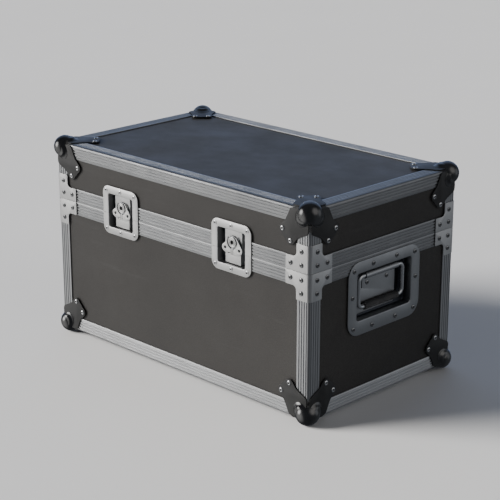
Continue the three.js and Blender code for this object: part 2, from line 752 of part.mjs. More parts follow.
/** The bail's centre line: a drop loop whose two ends turn in along the top, towards each other. */
function bailPath() {
  const half = BAIL_WIDTH / 2;
  const bend = BAIL_BEND;
  const at = (x, y) => new THREE.Vector3(x, y, -ROD_DEPTH);
  const path = new THREE.CurvePath();
  const corners = [
    at(-BAIL_END_GAP / 2, BAIL_TOP),
    at(-half, BAIL_TOP),
    at(-half, BAIL_BOTTOM),
    at(half, BAIL_BOTTOM),
    at(half, BAIL_TOP),
    at(BAIL_END_GAP / 2, BAIL_TOP),
  ];
  let from = corners[0];
  for (let i = 1; i < corners.length - 1; i += 1) {
    const before = corners[i].clone().sub(corners[i - 1]).setLength(bend);
    const after = corners[i + 1].clone().sub(corners[i]).setLength(bend);
    const start = corners[i].clone().sub(before);
    const end = corners[i].clone().add(after);
    path.add(new THREE.LineCurve3(from, start));
    path.add(new THREE.QuadraticBezierCurve3(start, corners[i], end));
    from = end;
  }
  path.add(new THREE.LineCurve3(from, corners[corners.length - 1]));
  return path;
}

function handleBail() {
  const section = new THREE.Shape();
  section.absarc(0, 0, ROD_RADIUS, 0, 2 * Math.PI, false);
  const steps = 46; // along the whole rod
  return solid(new THREE.ExtrudeGeometry(section, { steps, extrudePath: bailPath(), curveSegments: 5 }));
}

/** Moulded grip round the bail's lower bar. */
function handleGrip() {
  const half = GRIP_LENGTH / 2;
  const inner = ROD_RADIUS + GAP;
  const profile = [
    [inner, -half],
    [GRIP_RADIUS - GRIP_CHAMFER_DEPTH, -half],
    [GRIP_RADIUS, -half + GRIP_CHAMFER_LENGTH],
    [GRIP_RADIUS, half - GRIP_CHAMFER_LENGTH],
    [GRIP_RADIUS - GRIP_CHAMFER_DEPTH, half],
    [inner, half],
    [inner, -half],
  ];
  const geometry = new THREE.LatheGeometry(profile.map(([x, y]) => new THREE.Vector2(x, y)), SMALL_SIDES);
  geometry.rotateZ(Math.PI / 2);
  geometry.translate(0, BAIL_BOTTOM, -ROD_DEPTH);
  return solid(geometry);
}

/** Plate on the dish's floor that wraps round the bail's upper rod. */
function handleCradle() {
  const half = CRADLE_WIDTH / 2;
  const back = -HANDLE_DEPTH + GAP;
  const bore = ROD_RADIUS + CRADLE_CLEARANCE;
  const outer = bore + CRADLE_WALL;
  const plate = block([-half - CRADLE_EAR, CRADLE_BOTTOM, back], [half, BAIL_TOP, back + CRADLE_WALL]);
  const neck = block([-half, BAIL_TOP - CRADLE_WALL, back], [half, BAIL_TOP + CRADLE_WALL, -ROD_DEPTH]);
  const wrap = crossBar(outer, -half, half, BAIL_TOP, -ROD_DEPTH);
  const slitMiddle = -half - CRADLE_EAR / 2;
  const slit = block(
    [slitMiddle - CRADLE_SLIT_WIDTH / 2, CRADLE_SLIT_BOTTOM, back - PAST],
    [slitMiddle + CRADLE_SLIT_WIDTH / 2, CRADLE_SLIT_TOP, 0],
  );
  const rod = crossBar(bore, -half - PAST, half + PAST, BAIL_TOP, -ROD_DEPTH);
  return plate.add(neck).add(wrap).subtract(rod).subtract(slit);
}

function addHandles() {
  for (const [which, angle] of [['left', LEFT], ['right', RIGHT]]) {
    const end = faceGroup(angle, 0, HANDLE_MIDDLE);
    place(`handle_dish_${which}`, handleDish(), greyZinc, end);
    place(`handle_cradle_${which}`, handleCradle(), greyZinc, end);
    place(`handle_bail_${which}`, handleBail(), zinc, end);
    place(`handle_grip_${which}`, handleGrip(), rubber, end);
  }
}

// ---------------------------------------------------------------------------------------------
// Rear hinges, each in a frame whose origin is on the parting line and on the back face
// ---------------------------------------------------------------------------------------------

/** A leaf on one side of the parting line. Its knuckles take up the spans [from, to] along the axis. */
function hingeLeaf(side, spans) {
  const clear = KNUCKLE_RADIUS + 2 * GAP;
  const span = (a, b) => [Math.min(a, b), Math.max(a, b)];
  const [low, high] = span(side * clear, side * HINGE_REACH);
  const half = HINGE_WIDTH / 2;
  let leaf = block([-half, low, GAP], [half, high, GAP + HINGE_PLATE]);
  for (const [from, to] of spans) {
    const [neckLow, neckHigh] = span(0, side * (clear + WELD_OVERLAP));
    leaf = leaf.add(block([from, neckLow, GAP], [to, neckHigh, GAP + HINGE_PLATE]));
    leaf = leaf.add(crossBar(KNUCKLE_RADIUS, from, to, 0, HINGE_AXIS_OUT));
  }
  return leaf;
}

function addHinges() {
  const half = HINGE_WIDTH / 2;
  const middle = KNUCKLE_MIDDLE / 2;
  for (const [which, x] of [['right', -HINGE_SPREAD / 2], ['left', HINGE_SPREAD / 2]]) {
    const hinge = faceGroup(BACK, x, PARTING);
    const outerSpans = [[-half, -middle - GAP], [middle + GAP, half]];
    const pin = crossBar(PIN_RADIUS, -half, half, 0, HINGE_AXIS_OUT, PIN_SIDES);
    const bore = crossBar(PIN_RADIUS + PIN_CLEARANCE, -half, half, 0, HINGE_AXIS_OUT, PIN_SIDES);
    place(`hinge_base_leaf_${which}`, hingeLeaf(-1, outerSpans).subtract(bore), zinc, hinge);
    place(`hinge_lid_leaf_${which}`, hingeLeaf(1, [[-middle, middle]]).subtract(bore), zinc, hinge);
    place(`hinge_pin_${which}`, pin, zinc, hinge);
  }
}

// ---------------------------------------------------------------------------------------------
// Foam lining
// ---------------------------------------------------------------------------------------------

/** A foam tray against the walls, between a closed height and an open one, clear of every pan. */
function foamTray(closed, open) {
  const halfX = CASE_LENGTH / 2 - FOAM_FACE;
  const halfY = CASE_WIDTH / 2 - FOAM_FACE;
  const inwards = Math.sign(open - closed);
  const past = open + inwards;
  const span = (a, b) => [Math.min(a, b), Math.max(a, b)];
  const [low, high] = span(closed, open);
  const [hollowLow, hollowHigh] = span(closed + inwards * FOAM_WALL, past);
  const [x, y] = [halfX - FOAM_WALL, halfY - FOAM_WALL];
  let tray = block([-halfX, -halfY, low], [halfX, halfY, high]);
  tray = tray.subtract(block([-x, -y, hollowLow], [x, y, hollowHigh]));
  for (const at of [-HALF_SPREAD, HALF_SPREAD]) tray = tray.subtract(latchPocketInCase(at, FOAM_CLEARANCE));
  for (const quarters of [1, 3]) tray = tray.subtract(handlePocketInCase(quarters, FOAM_CLEARANCE));
  return tray;
}

function addFoam() {
  const base = foamTray(BOX_BOTTOM + FOAM_FACE, PARTING - FOAM_BELOW_PARTING);
  const lid = foamTray(BOX_TOP - FOAM_FACE, PARTING + FOAM_BELOW_PARTING);
  place('base_foam_lining', base, foam);
  place('lid_foam_lining', lid, foam);
}

// ---------------------------------------------------------------------------------------------
// The case
// ---------------------------------------------------------------------------------------------

addPanels();
addFrames();
addRims();
addCorners();
addLatches();
addHandles();
addHinges();
addFoam();

export default model;
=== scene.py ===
import json
import math

import bmesh
import bpy
from mathutils import Matrix, Vector
from mathutils.geometry import tessellate_polygon


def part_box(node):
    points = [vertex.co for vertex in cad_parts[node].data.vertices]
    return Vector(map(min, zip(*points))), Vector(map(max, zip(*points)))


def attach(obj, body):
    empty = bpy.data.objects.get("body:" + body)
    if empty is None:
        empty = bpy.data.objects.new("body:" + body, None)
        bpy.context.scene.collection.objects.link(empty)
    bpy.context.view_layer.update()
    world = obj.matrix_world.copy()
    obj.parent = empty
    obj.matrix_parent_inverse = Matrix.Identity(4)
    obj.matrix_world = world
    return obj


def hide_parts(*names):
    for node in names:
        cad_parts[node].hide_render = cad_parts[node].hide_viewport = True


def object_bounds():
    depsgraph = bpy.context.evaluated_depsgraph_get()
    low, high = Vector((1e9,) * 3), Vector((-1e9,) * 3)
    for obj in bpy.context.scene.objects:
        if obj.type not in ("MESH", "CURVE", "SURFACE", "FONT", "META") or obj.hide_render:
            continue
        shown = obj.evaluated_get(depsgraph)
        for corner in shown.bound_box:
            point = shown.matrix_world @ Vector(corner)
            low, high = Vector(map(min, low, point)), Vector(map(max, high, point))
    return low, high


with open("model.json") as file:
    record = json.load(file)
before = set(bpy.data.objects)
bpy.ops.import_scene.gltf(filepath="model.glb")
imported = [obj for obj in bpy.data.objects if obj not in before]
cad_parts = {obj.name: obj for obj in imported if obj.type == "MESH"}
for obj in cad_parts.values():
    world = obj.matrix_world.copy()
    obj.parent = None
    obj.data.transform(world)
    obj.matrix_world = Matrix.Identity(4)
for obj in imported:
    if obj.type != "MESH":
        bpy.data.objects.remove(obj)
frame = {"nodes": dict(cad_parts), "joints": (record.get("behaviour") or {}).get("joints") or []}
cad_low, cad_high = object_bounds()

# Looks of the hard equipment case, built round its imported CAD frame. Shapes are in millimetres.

# ---- Places, from the frame ----

MM = 0.001
JOINTS = {joint["name"]: joint for joint in frame["joints"]}


def box_mm(node):
    low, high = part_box(node)
    return low / MM, high / MM


BOX_LOW, _ = box_mm("base_bottom_frame")
_, BOX_HIGH = box_mm("lid_top_frame")
HALF_LENGTH = BOX_HIGH.x
HALF_WIDTH = BOX_HIGH.y
BOTTOM = BOX_LOW.z
TOP = BOX_HIGH.z
PARTING = JOINTS["lid_hinge"]["pos_m"][2] / MM
HINGE_OUT = JOINTS["lid_hinge"]["pos_m"][1] / MM - HALF_WIDTH
LATCH_X = {side: JOINTS[f"latch_turn_{side}"]["pos_m"][0] / MM for side in ("left", "right")}
TURN_HEIGHT = JOINTS["latch_turn_left"]["pos_m"][2] / MM - PARTING
dish_low, dish_high = box_mm("handle_dish_right")
HANDLE_Z = (dish_low.z + dish_high.z) / 2
HINGE_X = {side: sum(corner.x for corner in box_mm(f"hinge_pin_{side}")) / 2 for side in ("left", "right")}

# Sizes of the stock that the case is made of
GAP = 0.3
SEAM = 0.2            # from the parting line to each rim
PANEL_SINK = 2.0
PANEL_THICKNESS = 7.0
EDGE_LEG = 26.0
RIM_LEG = 24.0
LEG_WALL = PANEL_SINK - GAP                     # an extrusion's outer leg
CHANNEL = PANEL_SINK + PANEL_THICKNESS + GAP    # the far side of the slot that holds the panel
INNER_WALL = 1.5
CORE = CHANNEL + INNER_WALL
INNER_LEG = 22.0
NOSE = 6.0
BALL_INSET = 10.0
BALL_RADIUS = cad_high.x / MM - HALF_LENGTH + BALL_INSET
PRESSED = 1.2         # sheet of the braces, dishes and latch plates

# ---- Outlines and meshes ----


def round_angles(count):
    """Angles spread evenly round a full turn, in radians."""
    return [2 * math.pi * i / count for i in range(count)]


def turned(x, y, z):
    """A turn, given as the three rows of its matrix."""
    return Matrix((x, y, z)).to_4x4()


def arc(cx, cy, radius, start, end, steps=8):
    """Points of a round stretch, with its angles in degrees."""
    angles = [math.radians(start + (end - start) * i / steps) for i in range(steps + 1)]
    return [(cx + radius * math.cos(a), cy + radius * math.sin(a)) for a in angles]


def rounded(x0, y0, x1, y1, radii, steps=8):
    """A rectangle, anticlockwise. radii run left bottom, right bottom, right top, left top."""
    if not hasattr(radii, "__len__"):
        radii = [radii] * 4
    lb, rb, rt, lt = radii
    corners = [(x0 + lb, y0 + lb, lb, 180), (x1 - rb, y0 + rb, rb, 270),
               (x1 - rt, y1 - rt, rt, 0), (x0 + lt, y1 - lt, lt, 90)]
    points = []
    for cx, cy, radius, start in corners:
        points += arc(cx, cy, radius, start, start + 90, steps) if radius > 0 else [(cx, cy)]
    return points


def circle(cx, cy, radius, steps=32):
    return arc(cx, cy, radius, 0, 360, steps)[:-1]


def area_of(loop):
    return sum(a[0] * b[1] - b[0] * a[1] for a, b in zip(loop, loop[1:] + loop[:1])) / 2


def inset(loop, distance):
    """The loop moved sideways, to its left as it is walked."""
    moved = []
    for before, here, after in zip([loop[-1]] + loop[:-1], loop, loop[1:] + loop[:1]):
        a = (Vector(here) - Vector(before)).normalized()
        b = (Vector(after) - Vector(here)).normalized()
        na, nb = Vector((-a.y, a.x)), Vector((-b.y, b.x))
        scale = distance / max(1 + na.dot(nb), 0.3)
        moved.append((here[0] + (na.x + nb.x) * scale, here[1] + (na.y + nb.y) * scale))
    return moved


def place(name, data):
    """A new object in the scene."""
    obj = bpy.data.objects.new(name, data)
    bpy.context.scene.collection.objects.link(obj)
    return obj


class Build:
    """Collects stretches of mesh, in millimetres, for one piece."""

    def __init__(self):
        self.points, self.faces, self.looks = [], [], []
        self.look = 0           # which of the piece's materials the next faces take

    def add(self, points, faces, matrix=None):
        first = len(self.points)
        flip = matrix is not None and matrix.determinant() < 0
        for point in points:
            self.points.append(matrix @ Vector(point) if matrix is not None else Vector(point))
        for face in faces:
            self.faces.append([first + i for i in (reversed(face) if flip else face)])
            self.looks.append(self.look)

    def rings(self, rings, closed=False, caps=True, matrix=None):
        """Joins rings of points, each anticlockwise seen from the far end, into one skin."""
        count = len(rings[0])
        points = [p for ring in rings for p in ring]
        faces = []
        for i in range(len(rings) if closed else len(rings) - 1):
            a, b = i * count, (i + 1) % len(rings) * count
            for j in range(count):
                k = (j + 1) % count
                faces.append([a + j, a + k, b + k, b + j])
        if caps and not closed:
            faces.append(list(range(count))[::-1])
            faces.append([(len(rings) - 1) * count + j for j in range(count)])
        self.add(points, faces, matrix)

    def plate(self, outer, holes=(), z0=0.0, z1=1.0, edge=0.4, matrix=None, steps=3, back_edge=None):
        """A flat piece with rounded edges, from z0 up to z1."""
        back_edge = edge if back_edge is None else back_edge
        loops = [outer if area_of(outer) > 0 else outer[::-1]]
        loops += [hole if area_of(hole) < 0 else hole[::-1] for hole in holes]
        quarter = [math.pi / 2 * i / steps for i in range(steps + 1)]
        levels = [(back_edge * (1 - math.sin(t)), z0 + back_edge * (1 - math.cos(t))) for t in quarter]
        levels += [(edge * (1 - math.cos(t)), z1 - edge * (1 - math.sin(t))) for t in quarter]
        for loop in loops:
            self.rings([[(x, y, z) for x, y in inset(loop, d)] for d, z in levels], caps=False, matrix=matrix)
        for (d, z), down in ((levels[0], True), (levels[-1], False)):
            flat = [[Vector((x, y, 0)) for x, y in inset(loop, d)] for loop in loops]
            points = [(p.x, p.y, z) for loop in flat for p in loop]
            faces = []
            for a, b, c in tessellate_polygon(flat):
                pa, pb, pc = points[a], points[b], points[c]
                up = (pb[0] - pa[0]) * (pc[1] - pa[1]) - (pb[1] - pa[1]) * (pc[0] - pa[0]) > 0
                faces.append([a, b, c] if up != down else [a, c, b])
            self.add(points, faces, matrix)

    def lathe(self, profile, steps=24, matrix=None):
        """Turns a profile of (radius, height) round Z. It starts and ends on the axis."""
        angles = round_angles(steps)
        rings = [[(r * math.cos(a), r * math.sin(a), z) for a in angles] for r, z in profile]
        self.rings(rings, matrix=matrix)

    def tube(self, path, radius, steps=16, matrix=None):
        """A round bar along a path of points."""
        path = [Vector(p) for p in path]
        tangents = [(b - a).normalized() for a, b in zip(path[:1] + path, path[1:] + path[-1:])]
        side = tangents[0].orthogonal().normalized()
        rings = []
        for point, along in zip(path, tangents):
            side = (side - along * side.dot(along)).normalized()
            other = along.cross(side)
            rings.append([point + side * (radius * math.cos(a)) + other * (radius * math.sin(a))
                          for a in round_angles(steps)])
        self.rings(rings, matrix=matrix)

    def object(self, name):
        """The mesh as an object, with an empty slot for each of its materials."""
        mesh = bpy.data.meshes.new(name)
        mesh.from_pydata([p * MM for p in self.points], [], self.faces)
        for _ in set(self.looks):
            mesh.materials.append(None)
        mesh.polygons.foreach_set("material_index", self.looks)
        bm_merge(mesh)
        return place(name, mesh)

    def piece(self, name, *look):
        """The finished piece, riding on its body."""
        return dress(self.object(name), *look)


def bm_merge(mesh, distance=1e-6):
    """Joins points that lie together, so that the skin is closed, and drops faces with no area."""
    bm = bmesh.new()
    bm.from_mesh(mesh)
    bmesh.ops.remove_doubles(bm, verts=bm.verts, dist=distance)
    bmesh.ops.dissolve_degenerate(bm, edges=bm.edges, dist=distance)
    bm.to_mesh(mesh)
    bm.free()


def dress(obj, body, material, slot, replaces=(), smooth=35):
    """Gives a piece its shading, its material or tuple of them and its body, and hides the frame's parts that
    it stands for. The slot is not used.
    """
    for polygon in obj.data.polygons:
        polygon.use_smooth = True
    obj.data.set_sharp_from_angle(angle=math.radians(smooth))
    materials = material if isinstance(material, tuple) else (material,)
    for i, one in enumerate(materials):
        obj.data.materials[i] = one
    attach(obj, body)
    if replaces:
        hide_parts(*replaces)
    return obj


def cut(obj, low, high):
    """Cuts a block, given in millimetres, out of a piece."""
    maker = Build()
    maker.plate(rounded(low[0], low[1], high[0], high[1], 0), z0=low[2], z1=high[2], edge=0, steps=1)
    cutter = maker.object("cutter")
    modifier = obj.modifiers.new("cut", "BOOLEAN")
    modifier.operation = "DIFFERENCE"
    modifier.object = cutter
    modifier.solver = "EXACT"
    bpy.context.view_layer.update()
    evaluated = obj.evaluated_get(bpy.context.evaluated_depsgraph_get())
    obj.data = bpy.data.meshes.new_from_object(evaluated)
    obj.modifiers.clear()
    bpy.data.objects.remove(cutter)
    bm_merge(obj.data)


FACE_TURNS = {"front": 0, "right": 90, "back": 180, "left": -90}


def face(side, along=0.0, height=0.0):
    """Frame on a side: X to the right seen from outside, Y up, Z out from the edge extrusions' outer face."""
    out = HALF_WIDTH if side in ("front", "back") else HALF_LENGTH
    turn = Matrix.Rotation(math.radians(FACE_TURNS[side]), 4, "Z")
    return turn @ Matrix.Translation((along, -out, height)) @ Matrix.Rotation(math.pi / 2, 4, "X")


# Sides along X and Y, and quarter turns
CORNERS = {"front_left": (-1, -1, 0), "front_right": (1, -1, 1),
           "back_right": (1, 1, 2), "back_left": (-1, 1, 3)}
DIAGONAL_FLIP = Matrix.Rotation(math.pi, 4, Vector((1, 1, 0)).normalized())


def corner(where, height, upside_down=False):
    """Frame on a corner: 0 on the outer faces, X and Y into the case along them, Z up or down into it."""
    sx, sy, quarters = CORNERS[where]
    matrix = Matrix.Translation((sx * HALF_LENGTH, sy * HALF_WIDTH, height))
    matrix = matrix @ Matrix.Rotation(quarters * math.pi / 2, 4, "Z")
    return matrix @ DIAGONAL_FLIP if upside_down else matrix


# ---- Materials ----


class Tree:
    """Short ways to add to a node tree."""

    def __init__(self, tree):
        self.tree = tree

    def feed(self, socket, value):
        """Sets a socket to a constant, or links another node's output to it."""
        if hasattr(value, "default_value"):
            self.tree.links.new(value, socket)
        else:
            socket.default_value = value

    def node(self, kind, **inputs):
        node = self.tree.nodes.new("ShaderNode" + kind)
        for socket, value in inputs.items():
            self.feed(node.inputs[socket], value)
        return node

    def ramp(self, value, *stops, ease="LINEAR"):
        """A colour ramp of (position, grey or colour)."""
        node = self.node("ValToRGB", Fac=value)
        node.color_ramp.interpolation = ease
        for element, (position, colour) in zip(node.color_ramp.elements, stops, strict=True):
            element.position = position
            element.color = (*colour, 1) if hasattr(colour, "__len__") else (colour, colour, colour, 1)
        return node.outputs["Color"]

    def mix(self, factor, a, b, mode="MIX"):
        """Mixes two colours, each an output or red, green and blue."""
        node = self.node("Mix")
        node.data_type = "RGBA"
        node.blend_type = mode
        for name, value in (("Factor", factor), ("A", a), ("B", b)):
            socket = next(s for s in node.inputs if s.name == name and s.enabled)
            self.feed(socket, (*value, 1) if hasattr(value, "__len__") else value)
        return next(s for s in node.outputs if s.enabled)

    def math(self, operation, *values):
        node = self.node("Math")
        node.operation = operation
        for socket, value in zip(node.inputs, values):
            self.feed(socket, value)
        return node.outputs[0]

    def vector_math(self, operation, a, b):
        node = self.node("VectorMath")
        node.operation = operation
        self.feed(node.inputs[0], a)
        self.feed(node.inputs[1], b)
        return node


class Nodes(Tree):
    """A material with its shader and its textures, which are fixed to the case."""

    def __init__(self, name, **constants):
        self.material = bpy.data.materials.new(name)
        self.material.use_nodes = True
        super().__init__(self.material.node_tree)
        self.shader = self.tree.nodes["Principled BSDF"]
        for socket, value in constants.items():
            self.shader.inputs[socket.replace("_", " ")].default_value = value
        self.place = self.node("TexCoord").outputs["Object"]

    def stretched(self, scale):
        return self.node("Mapping", Scale=scale, Vector=self.place).outputs["Vector"]

    def noise(self, scale, detail=4.0, roughness=0.6, stretch=(1, 1, 1)):
        return self.node("TexNoise", Scale=scale, Detail=detail, Roughness=roughness,
                         Vector=self.stretched(stretch)).outputs["Fac"]

    def voronoi(self, scale):
        return self.node("TexVoronoi", Scale=scale, Vector=self.stretched((1, 1, 1))).outputs["Distance"]

    def depth(self, axis, start, end):
        """0 on what stands out to the start, along one axis from the case's middle, and 1 within the end."""
        out = self.math("ABSOLUTE", self.node("SeparateXYZ", Vector=self.place).outputs[axis])
        share = self.math("DIVIDE", self.math("SUBTRACT", out, start), end - start)
        return self.ramp(share, (0.0, 0.0), (1.0, 1.0))

    def edge_wear(self, low=0.52, high=0.6):
        """1 on worn outer edges, 0 elsewhere."""
        return self.ramp(self.node("NewGeometry").outputs["Pointiness"], (low, 0.0), (high, 1.0))

    def bump(self, height, strength, distance):
        """Raises the surface by a texture, on top of any bump that is there already."""
        node = self.node("Bump", Strength=strength, Distance=distance, Height=height)
        normal = self.shader.inputs["Normal"]
        if normal.links:
            self.feed(node.inputs["Normal"], normal.links[0].from_socket)
        self.feed(normal, node.outputs["Normal"])

    def colour(self, value):
        self.feed(self.shader.inputs["Base Color"], value)

    def rough(self, value):
        self.feed(self.shader.inputs["Roughness"], value)


def laminate():
    n = Nodes("laminate", Specular_IOR_Level=0.28)
    cloud = n.noise(5.0, 3.0, 0.55)
    grain = n.noise(900.0, 2.0, 0.6)
    base = n.ramp(cloud, (0.3, (0.034, 0.0325, 0.031)), (0.7, (0.044, 0.042, 0.040)))
    flecks = n.ramp(grain, (0.35, 0.55), (0.65, 1.0))
    scuffs = n.ramp(n.noise(38.0, 8.0, 0.62, (0.18, 0.18, 1.6)), (0.62, 0.0), (0.72, 1.0))
    faint_scuffs = n.math("MULTIPLY", scuffs, 0.07)
    n.colour(n.mix(faint_scuffs, n.mix(1.0, base, flecks, "MULTIPLY"), (0.11, 0.11, 0.112)))
    n.rough(n.ramp(n.noise(11.0, 5.0, 0.6), (0.3, 0.40), (0.75, 0.56)))
    n.bump(n.voronoi(620.0), 0.35, 0.00012)
    n.bump(grain, 0.25, 0.00008)
    return n.material


# The cool tint of the painted shade in recesses.
RECESS_SHADE_TINT = (1.0, 1.07, 1.25)       # a cool tint


def brushed(name, colour, dark, rough, stretch, grain=0.12, grime=0.35, recess_shade=None):
    """Metal with fine brushed lines, duller patches and bright worn edges.

    stretch scales the lines' texture on each axis: a small number draws them out along it.
    The last argument paints shade into a recess, with a cool tint: (axis, mouth, floor, share) says how far
    from the case's middle the painted shade begins and is full, and how much of the light is left there."""
    n = Nodes(name, Metallic=1.0)
    lines = n.noise(420.0, 3.0, 0.65, stretch)
    patches = n.noise(26.0, 6.0, 0.62)
    shade = n.mix(n.ramp(patches, (0.35, 0.0), (0.72, grime)), colour, dark)
    shade = n.mix(n.math("MULTIPLY", n.edge_wear(), 0.5), shade, [min(1.0, c * 1.35) for c in colour])
    shade = n.mix(grain, shade, n.ramp(lines, (0.3, 0.35), (0.7, 1.0)), "MULTIPLY")
    # Painted shade: darker and cooler towards a recess's floor.
    if recess_shade:
        axis, mouth, floor, light_kept = recess_shade
        shade = n.mix(n.depth(axis, mouth, floor), shade, [light_kept * c for c in RECESS_SHADE_TINT], "MULTIPLY")
    n.colour(shade)
    streaks = n.math("MULTIPLY", n.math("SUBTRACT", lines, 0.5), 0.22)
    cloudy = n.math("MULTIPLY", n.math("SUBTRACT", patches, 0.5), 0.25)
    n.rough(n.math("ADD", n.math("ADD", streaks, cloudy), rough))
    n.bump(lines, 0.12, 0.00005)
    return n.material


def coated_black(name, rough, colour, metallic=0.0):
    n = Nodes(name, Specular_IOR_Level=0.5, Metallic=metallic)
    speckle = n.noise(60.0, 6.0, 0.65)
    base = n.ramp(speckle, (0.35, colour), (0.75, colour * 1.7))
    chips = n.math("MULTIPLY", n.edge_wear(0.56, 0.66), n.ramp(n.noise(210.0, 4.0), (0.45, 0.0), (0.6, 1.0)))
    n.colour(n.mix(chips, base, (0.20, 0.20, 0.205)))
    n.rough(n.ramp(n.noise(34.0, 5.0), (0.3, rough), (0.8, rough + 0.16)))
    n.bump(n.noise(480.0, 3.0), 0.08, 0.00006)
    return n.material


def moulded_rubber():
    n = Nodes("moulded_rubber", Specular_IOR_Level=0.35)
    dust = n.noise(55.0, 6.0, 0.65)
    n.colour(n.ramp(dust, (0.4, (0.030, 0.031, 0.033)), (0.8, (0.060, 0.060, 0.060))))
    n.rough(n.ramp(dust, (0.3, 0.55), (0.8, 0.8)))
    n.bump(n.noise(700.0, 3.0), 0.3, 0.0001)
    return n.material


def foam_material():
    n = Nodes("charcoal_foam", Specular_IOR_Level=0.2)
    cells = n.voronoi(950.0)
    patches = n.noise(14.0, 4.0)
    n.colour(n.mix(0.6, n.ramp(patches, (0.3, (0.026, 0.026, 0.028)), (0.75, (0.044, 0.044, 0.046))),
                   n.ramp(cells, (0.05, 1.0), (0.5, 0.35)), "MULTIPLY"))
    n.rough(n.ramp(patches, (0.3, 0.86), (0.8, 0.97)))
    n.bump(cells, 0.7, 0.0006)
    return n.material


LEVEL_LINES, UPRIGHT_LINES, EVEN, FINE = (0.02, 0.02, 1.0), (1.0, 1.0, 0.02), (0.5, 0.5, 0.5), (1, 1, 1)


def recess(axis, face, mouth, floor, light_kept):
    """Painted shade for brushed() in a recess: mouth and floor are millimetres below that side's face."""
    return axis, (face - mouth) * MM, (face - floor) * MM, light_kept


LAMINATE = laminate()
ALUMINIUM = brushed("extruded_aluminium", (0.34, 0.345, 0.35), (0.21, 0.215, 0.225), 0.38, LEVEL_LINES)
# The base's edge extrusions: the same aluminium, painted lighter as a painted reflection of the bright floor
# below them.
FLOOR_LIT_ALUMINIUM = brushed("floor_lit_aluminium", (0.58, 0.585, 0.59), (0.42, 0.425, 0.43), 0.38, LEVEL_LINES)
POST_ALUMINIUM = brushed("post_aluminium", (0.39, 0.395, 0.40), (0.26, 0.265, 0.275), 0.40, UPRIGHT_LINES)
ZINC = brushed("bright_zinc", (0.64, 0.64, 0.635), (0.47, 0.47, 0.465), 0.42, EVEN, 0.06, 0.25)
# The latch pans, the latch's moving parts, its boss and the handle pans get painted shade, darker and cooler
# towards their recesses' floors.
LATCH_PAN = brushed("latch_pan_zinc", (0.66, 0.66, 0.655), (0.49, 0.49, 0.485), 0.42, EVEN, 0.06, 0.25,
                    recess("Y", HALF_WIDTH, 6.0, 13.0, 0.12))
LATCH_MOVER = brushed("latch_mover_zinc", (0.68, 0.68, 0.67), (0.50, 0.50, 0.49), 0.42, EVEN, 0.06, 0.25,
                      recess("Y", HALF_WIDTH, 1.1, 2.4, 0.3))
LATCH_BOSS = brushed("latch_boss_zinc", (0.68, 0.68, 0.67), (0.50, 0.50, 0.49), 0.38, EVEN, 0.06, 0.25,
                     recess("Y", HALF_WIDTH, 1.0, 4.2, 0.3))
HANDLE_PAN = brushed("handle_pan_zinc", (0.40, 0.41, 0.42), (0.27, 0.28, 0.29), 0.42, EVEN, 0.08, 0.35,
                     recess("X", HALF_LENGTH, 6.0, 15.0, 0.16))
DARK_ZINC = brushed("grey_zinc", (0.42, 0.43, 0.44), (0.29, 0.295, 0.305), 0.42, EVEN, 0.08, 0.35)
BAIL_STEEL = brushed("bail_steel", (0.62, 0.63, 0.64), (0.42, 0.43, 0.44), 0.3, EVEN, 0.05, 0.3)
DARK_RIVET = brushed("grey_rivet", (0.30, 0.305, 0.31), (0.14, 0.145, 0.15), 0.22, FINE, 0.05, 0.5)
RIVET = brushed("rivet_steel", (0.72, 0.725, 0.73), (0.35, 0.355, 0.36), 0.16, FINE, 0.05, 0.4)
# Near-black painted shade for the hollows of the rivets and of the latch's boss.
RIVET_HOLLOW_SHADE = coated_black("rivet_hollow_shade", 0.5, 0.012)
BALL_BLACK = coated_black("gloss_black_ball", 0.15, 0.10, 1.0)
SATIN_BLACK = coated_black("satin_black_plate", 0.36, 0.009)
RUBBER = moulded_rubber()
FOAM = foam_material()

# ---- Edge extrusions ----

GROOVE_PITCH, GROOVE_HALF, GROOVE_DEEP = 5.1, 1.2, 1.15
FIRST_GROOVE, FIRST_RIM_GROOVE = 5.3, 4.6
LAND = 1.0            # least flat beside the last groove
# The base's tongue and the lid's slot for it: their two sides, in from the outer face, and their height
TONGUE_OUT, TONGUE_IN, TONGUE_HIGH, TONGUE_BEVEL = 4.0, 6.5, 3.0, 0.5
SLOT_OUT, SLOT_IN, SLOT_HIGH = 3.0, 7.5, 4.2
BASE_WEB, LID_WEB = 2.0, 5.9


def grooved(centre, last):
    """Points (distance along the leg, depth) of its outer side, from its first groove's centre on."""
    points = []
    while centre + GROOVE_HALF < last - LAND:
        for share in (-1.0, -0.72, -0.42, 0.0, 0.42, 0.72, 1.0):
            deep = 0.0 if abs(share) == 1 else GROOVE_DEEP * math.cos(share * math.pi / 2) ** 0.6
            points.append((centre + share * GROOVE_HALF, deep))
        centre += GROOVE_PITCH
    return points


def leg_end(along, radius=0.5):
    """The end of a leg: from its outer side over to its inner side."""
    return [(along - radius, 0.0), (along - radius * 0.3, radius * 0.3), (along, radius), (along, LEG_WALL)]


def double_angle():
    """Section of an edge: (in from one outer face, in from the other), anticlockwise."""
    leg = grooved(FIRST_GROOVE, EDGE_LEG) + leg_end(EDGE_LEG)
    nose = arc(NOSE * 0.75, NOSE * 0.75, NOSE * 0.75, 180, 270, 7)
    inner = [(CORE, LEG_WALL), (CORE, CHANNEL), (INNER_LEG, CHANNEL), (INNER_LEG, CORE), (CORE, CORE)]
    return nose + leg + inner + [(y, x) for x, y in inner[-2::-1]] + [(y, x) for x, y in leg[::-1]]


def plan_outline(distance, steps=4):
    """The case's plan, set in by a distance, anticlockwise from its right side."""
    radius = max(NOSE - distance, 0.0)
    x, y = HALF_LENGTH - distance - radius, HALF_WIDTH - distance - radius
    points = []
    for quarter, (sx, sy) in enumerate(((1, 1), (-1, 1), (-1, -1), (1, -1))):
        points += [(sx * x + px, sy * y + py) for px, py in
                   arc(0, 0, radius, quarter * 90, quarter * 90 + 90, steps)]
    return points


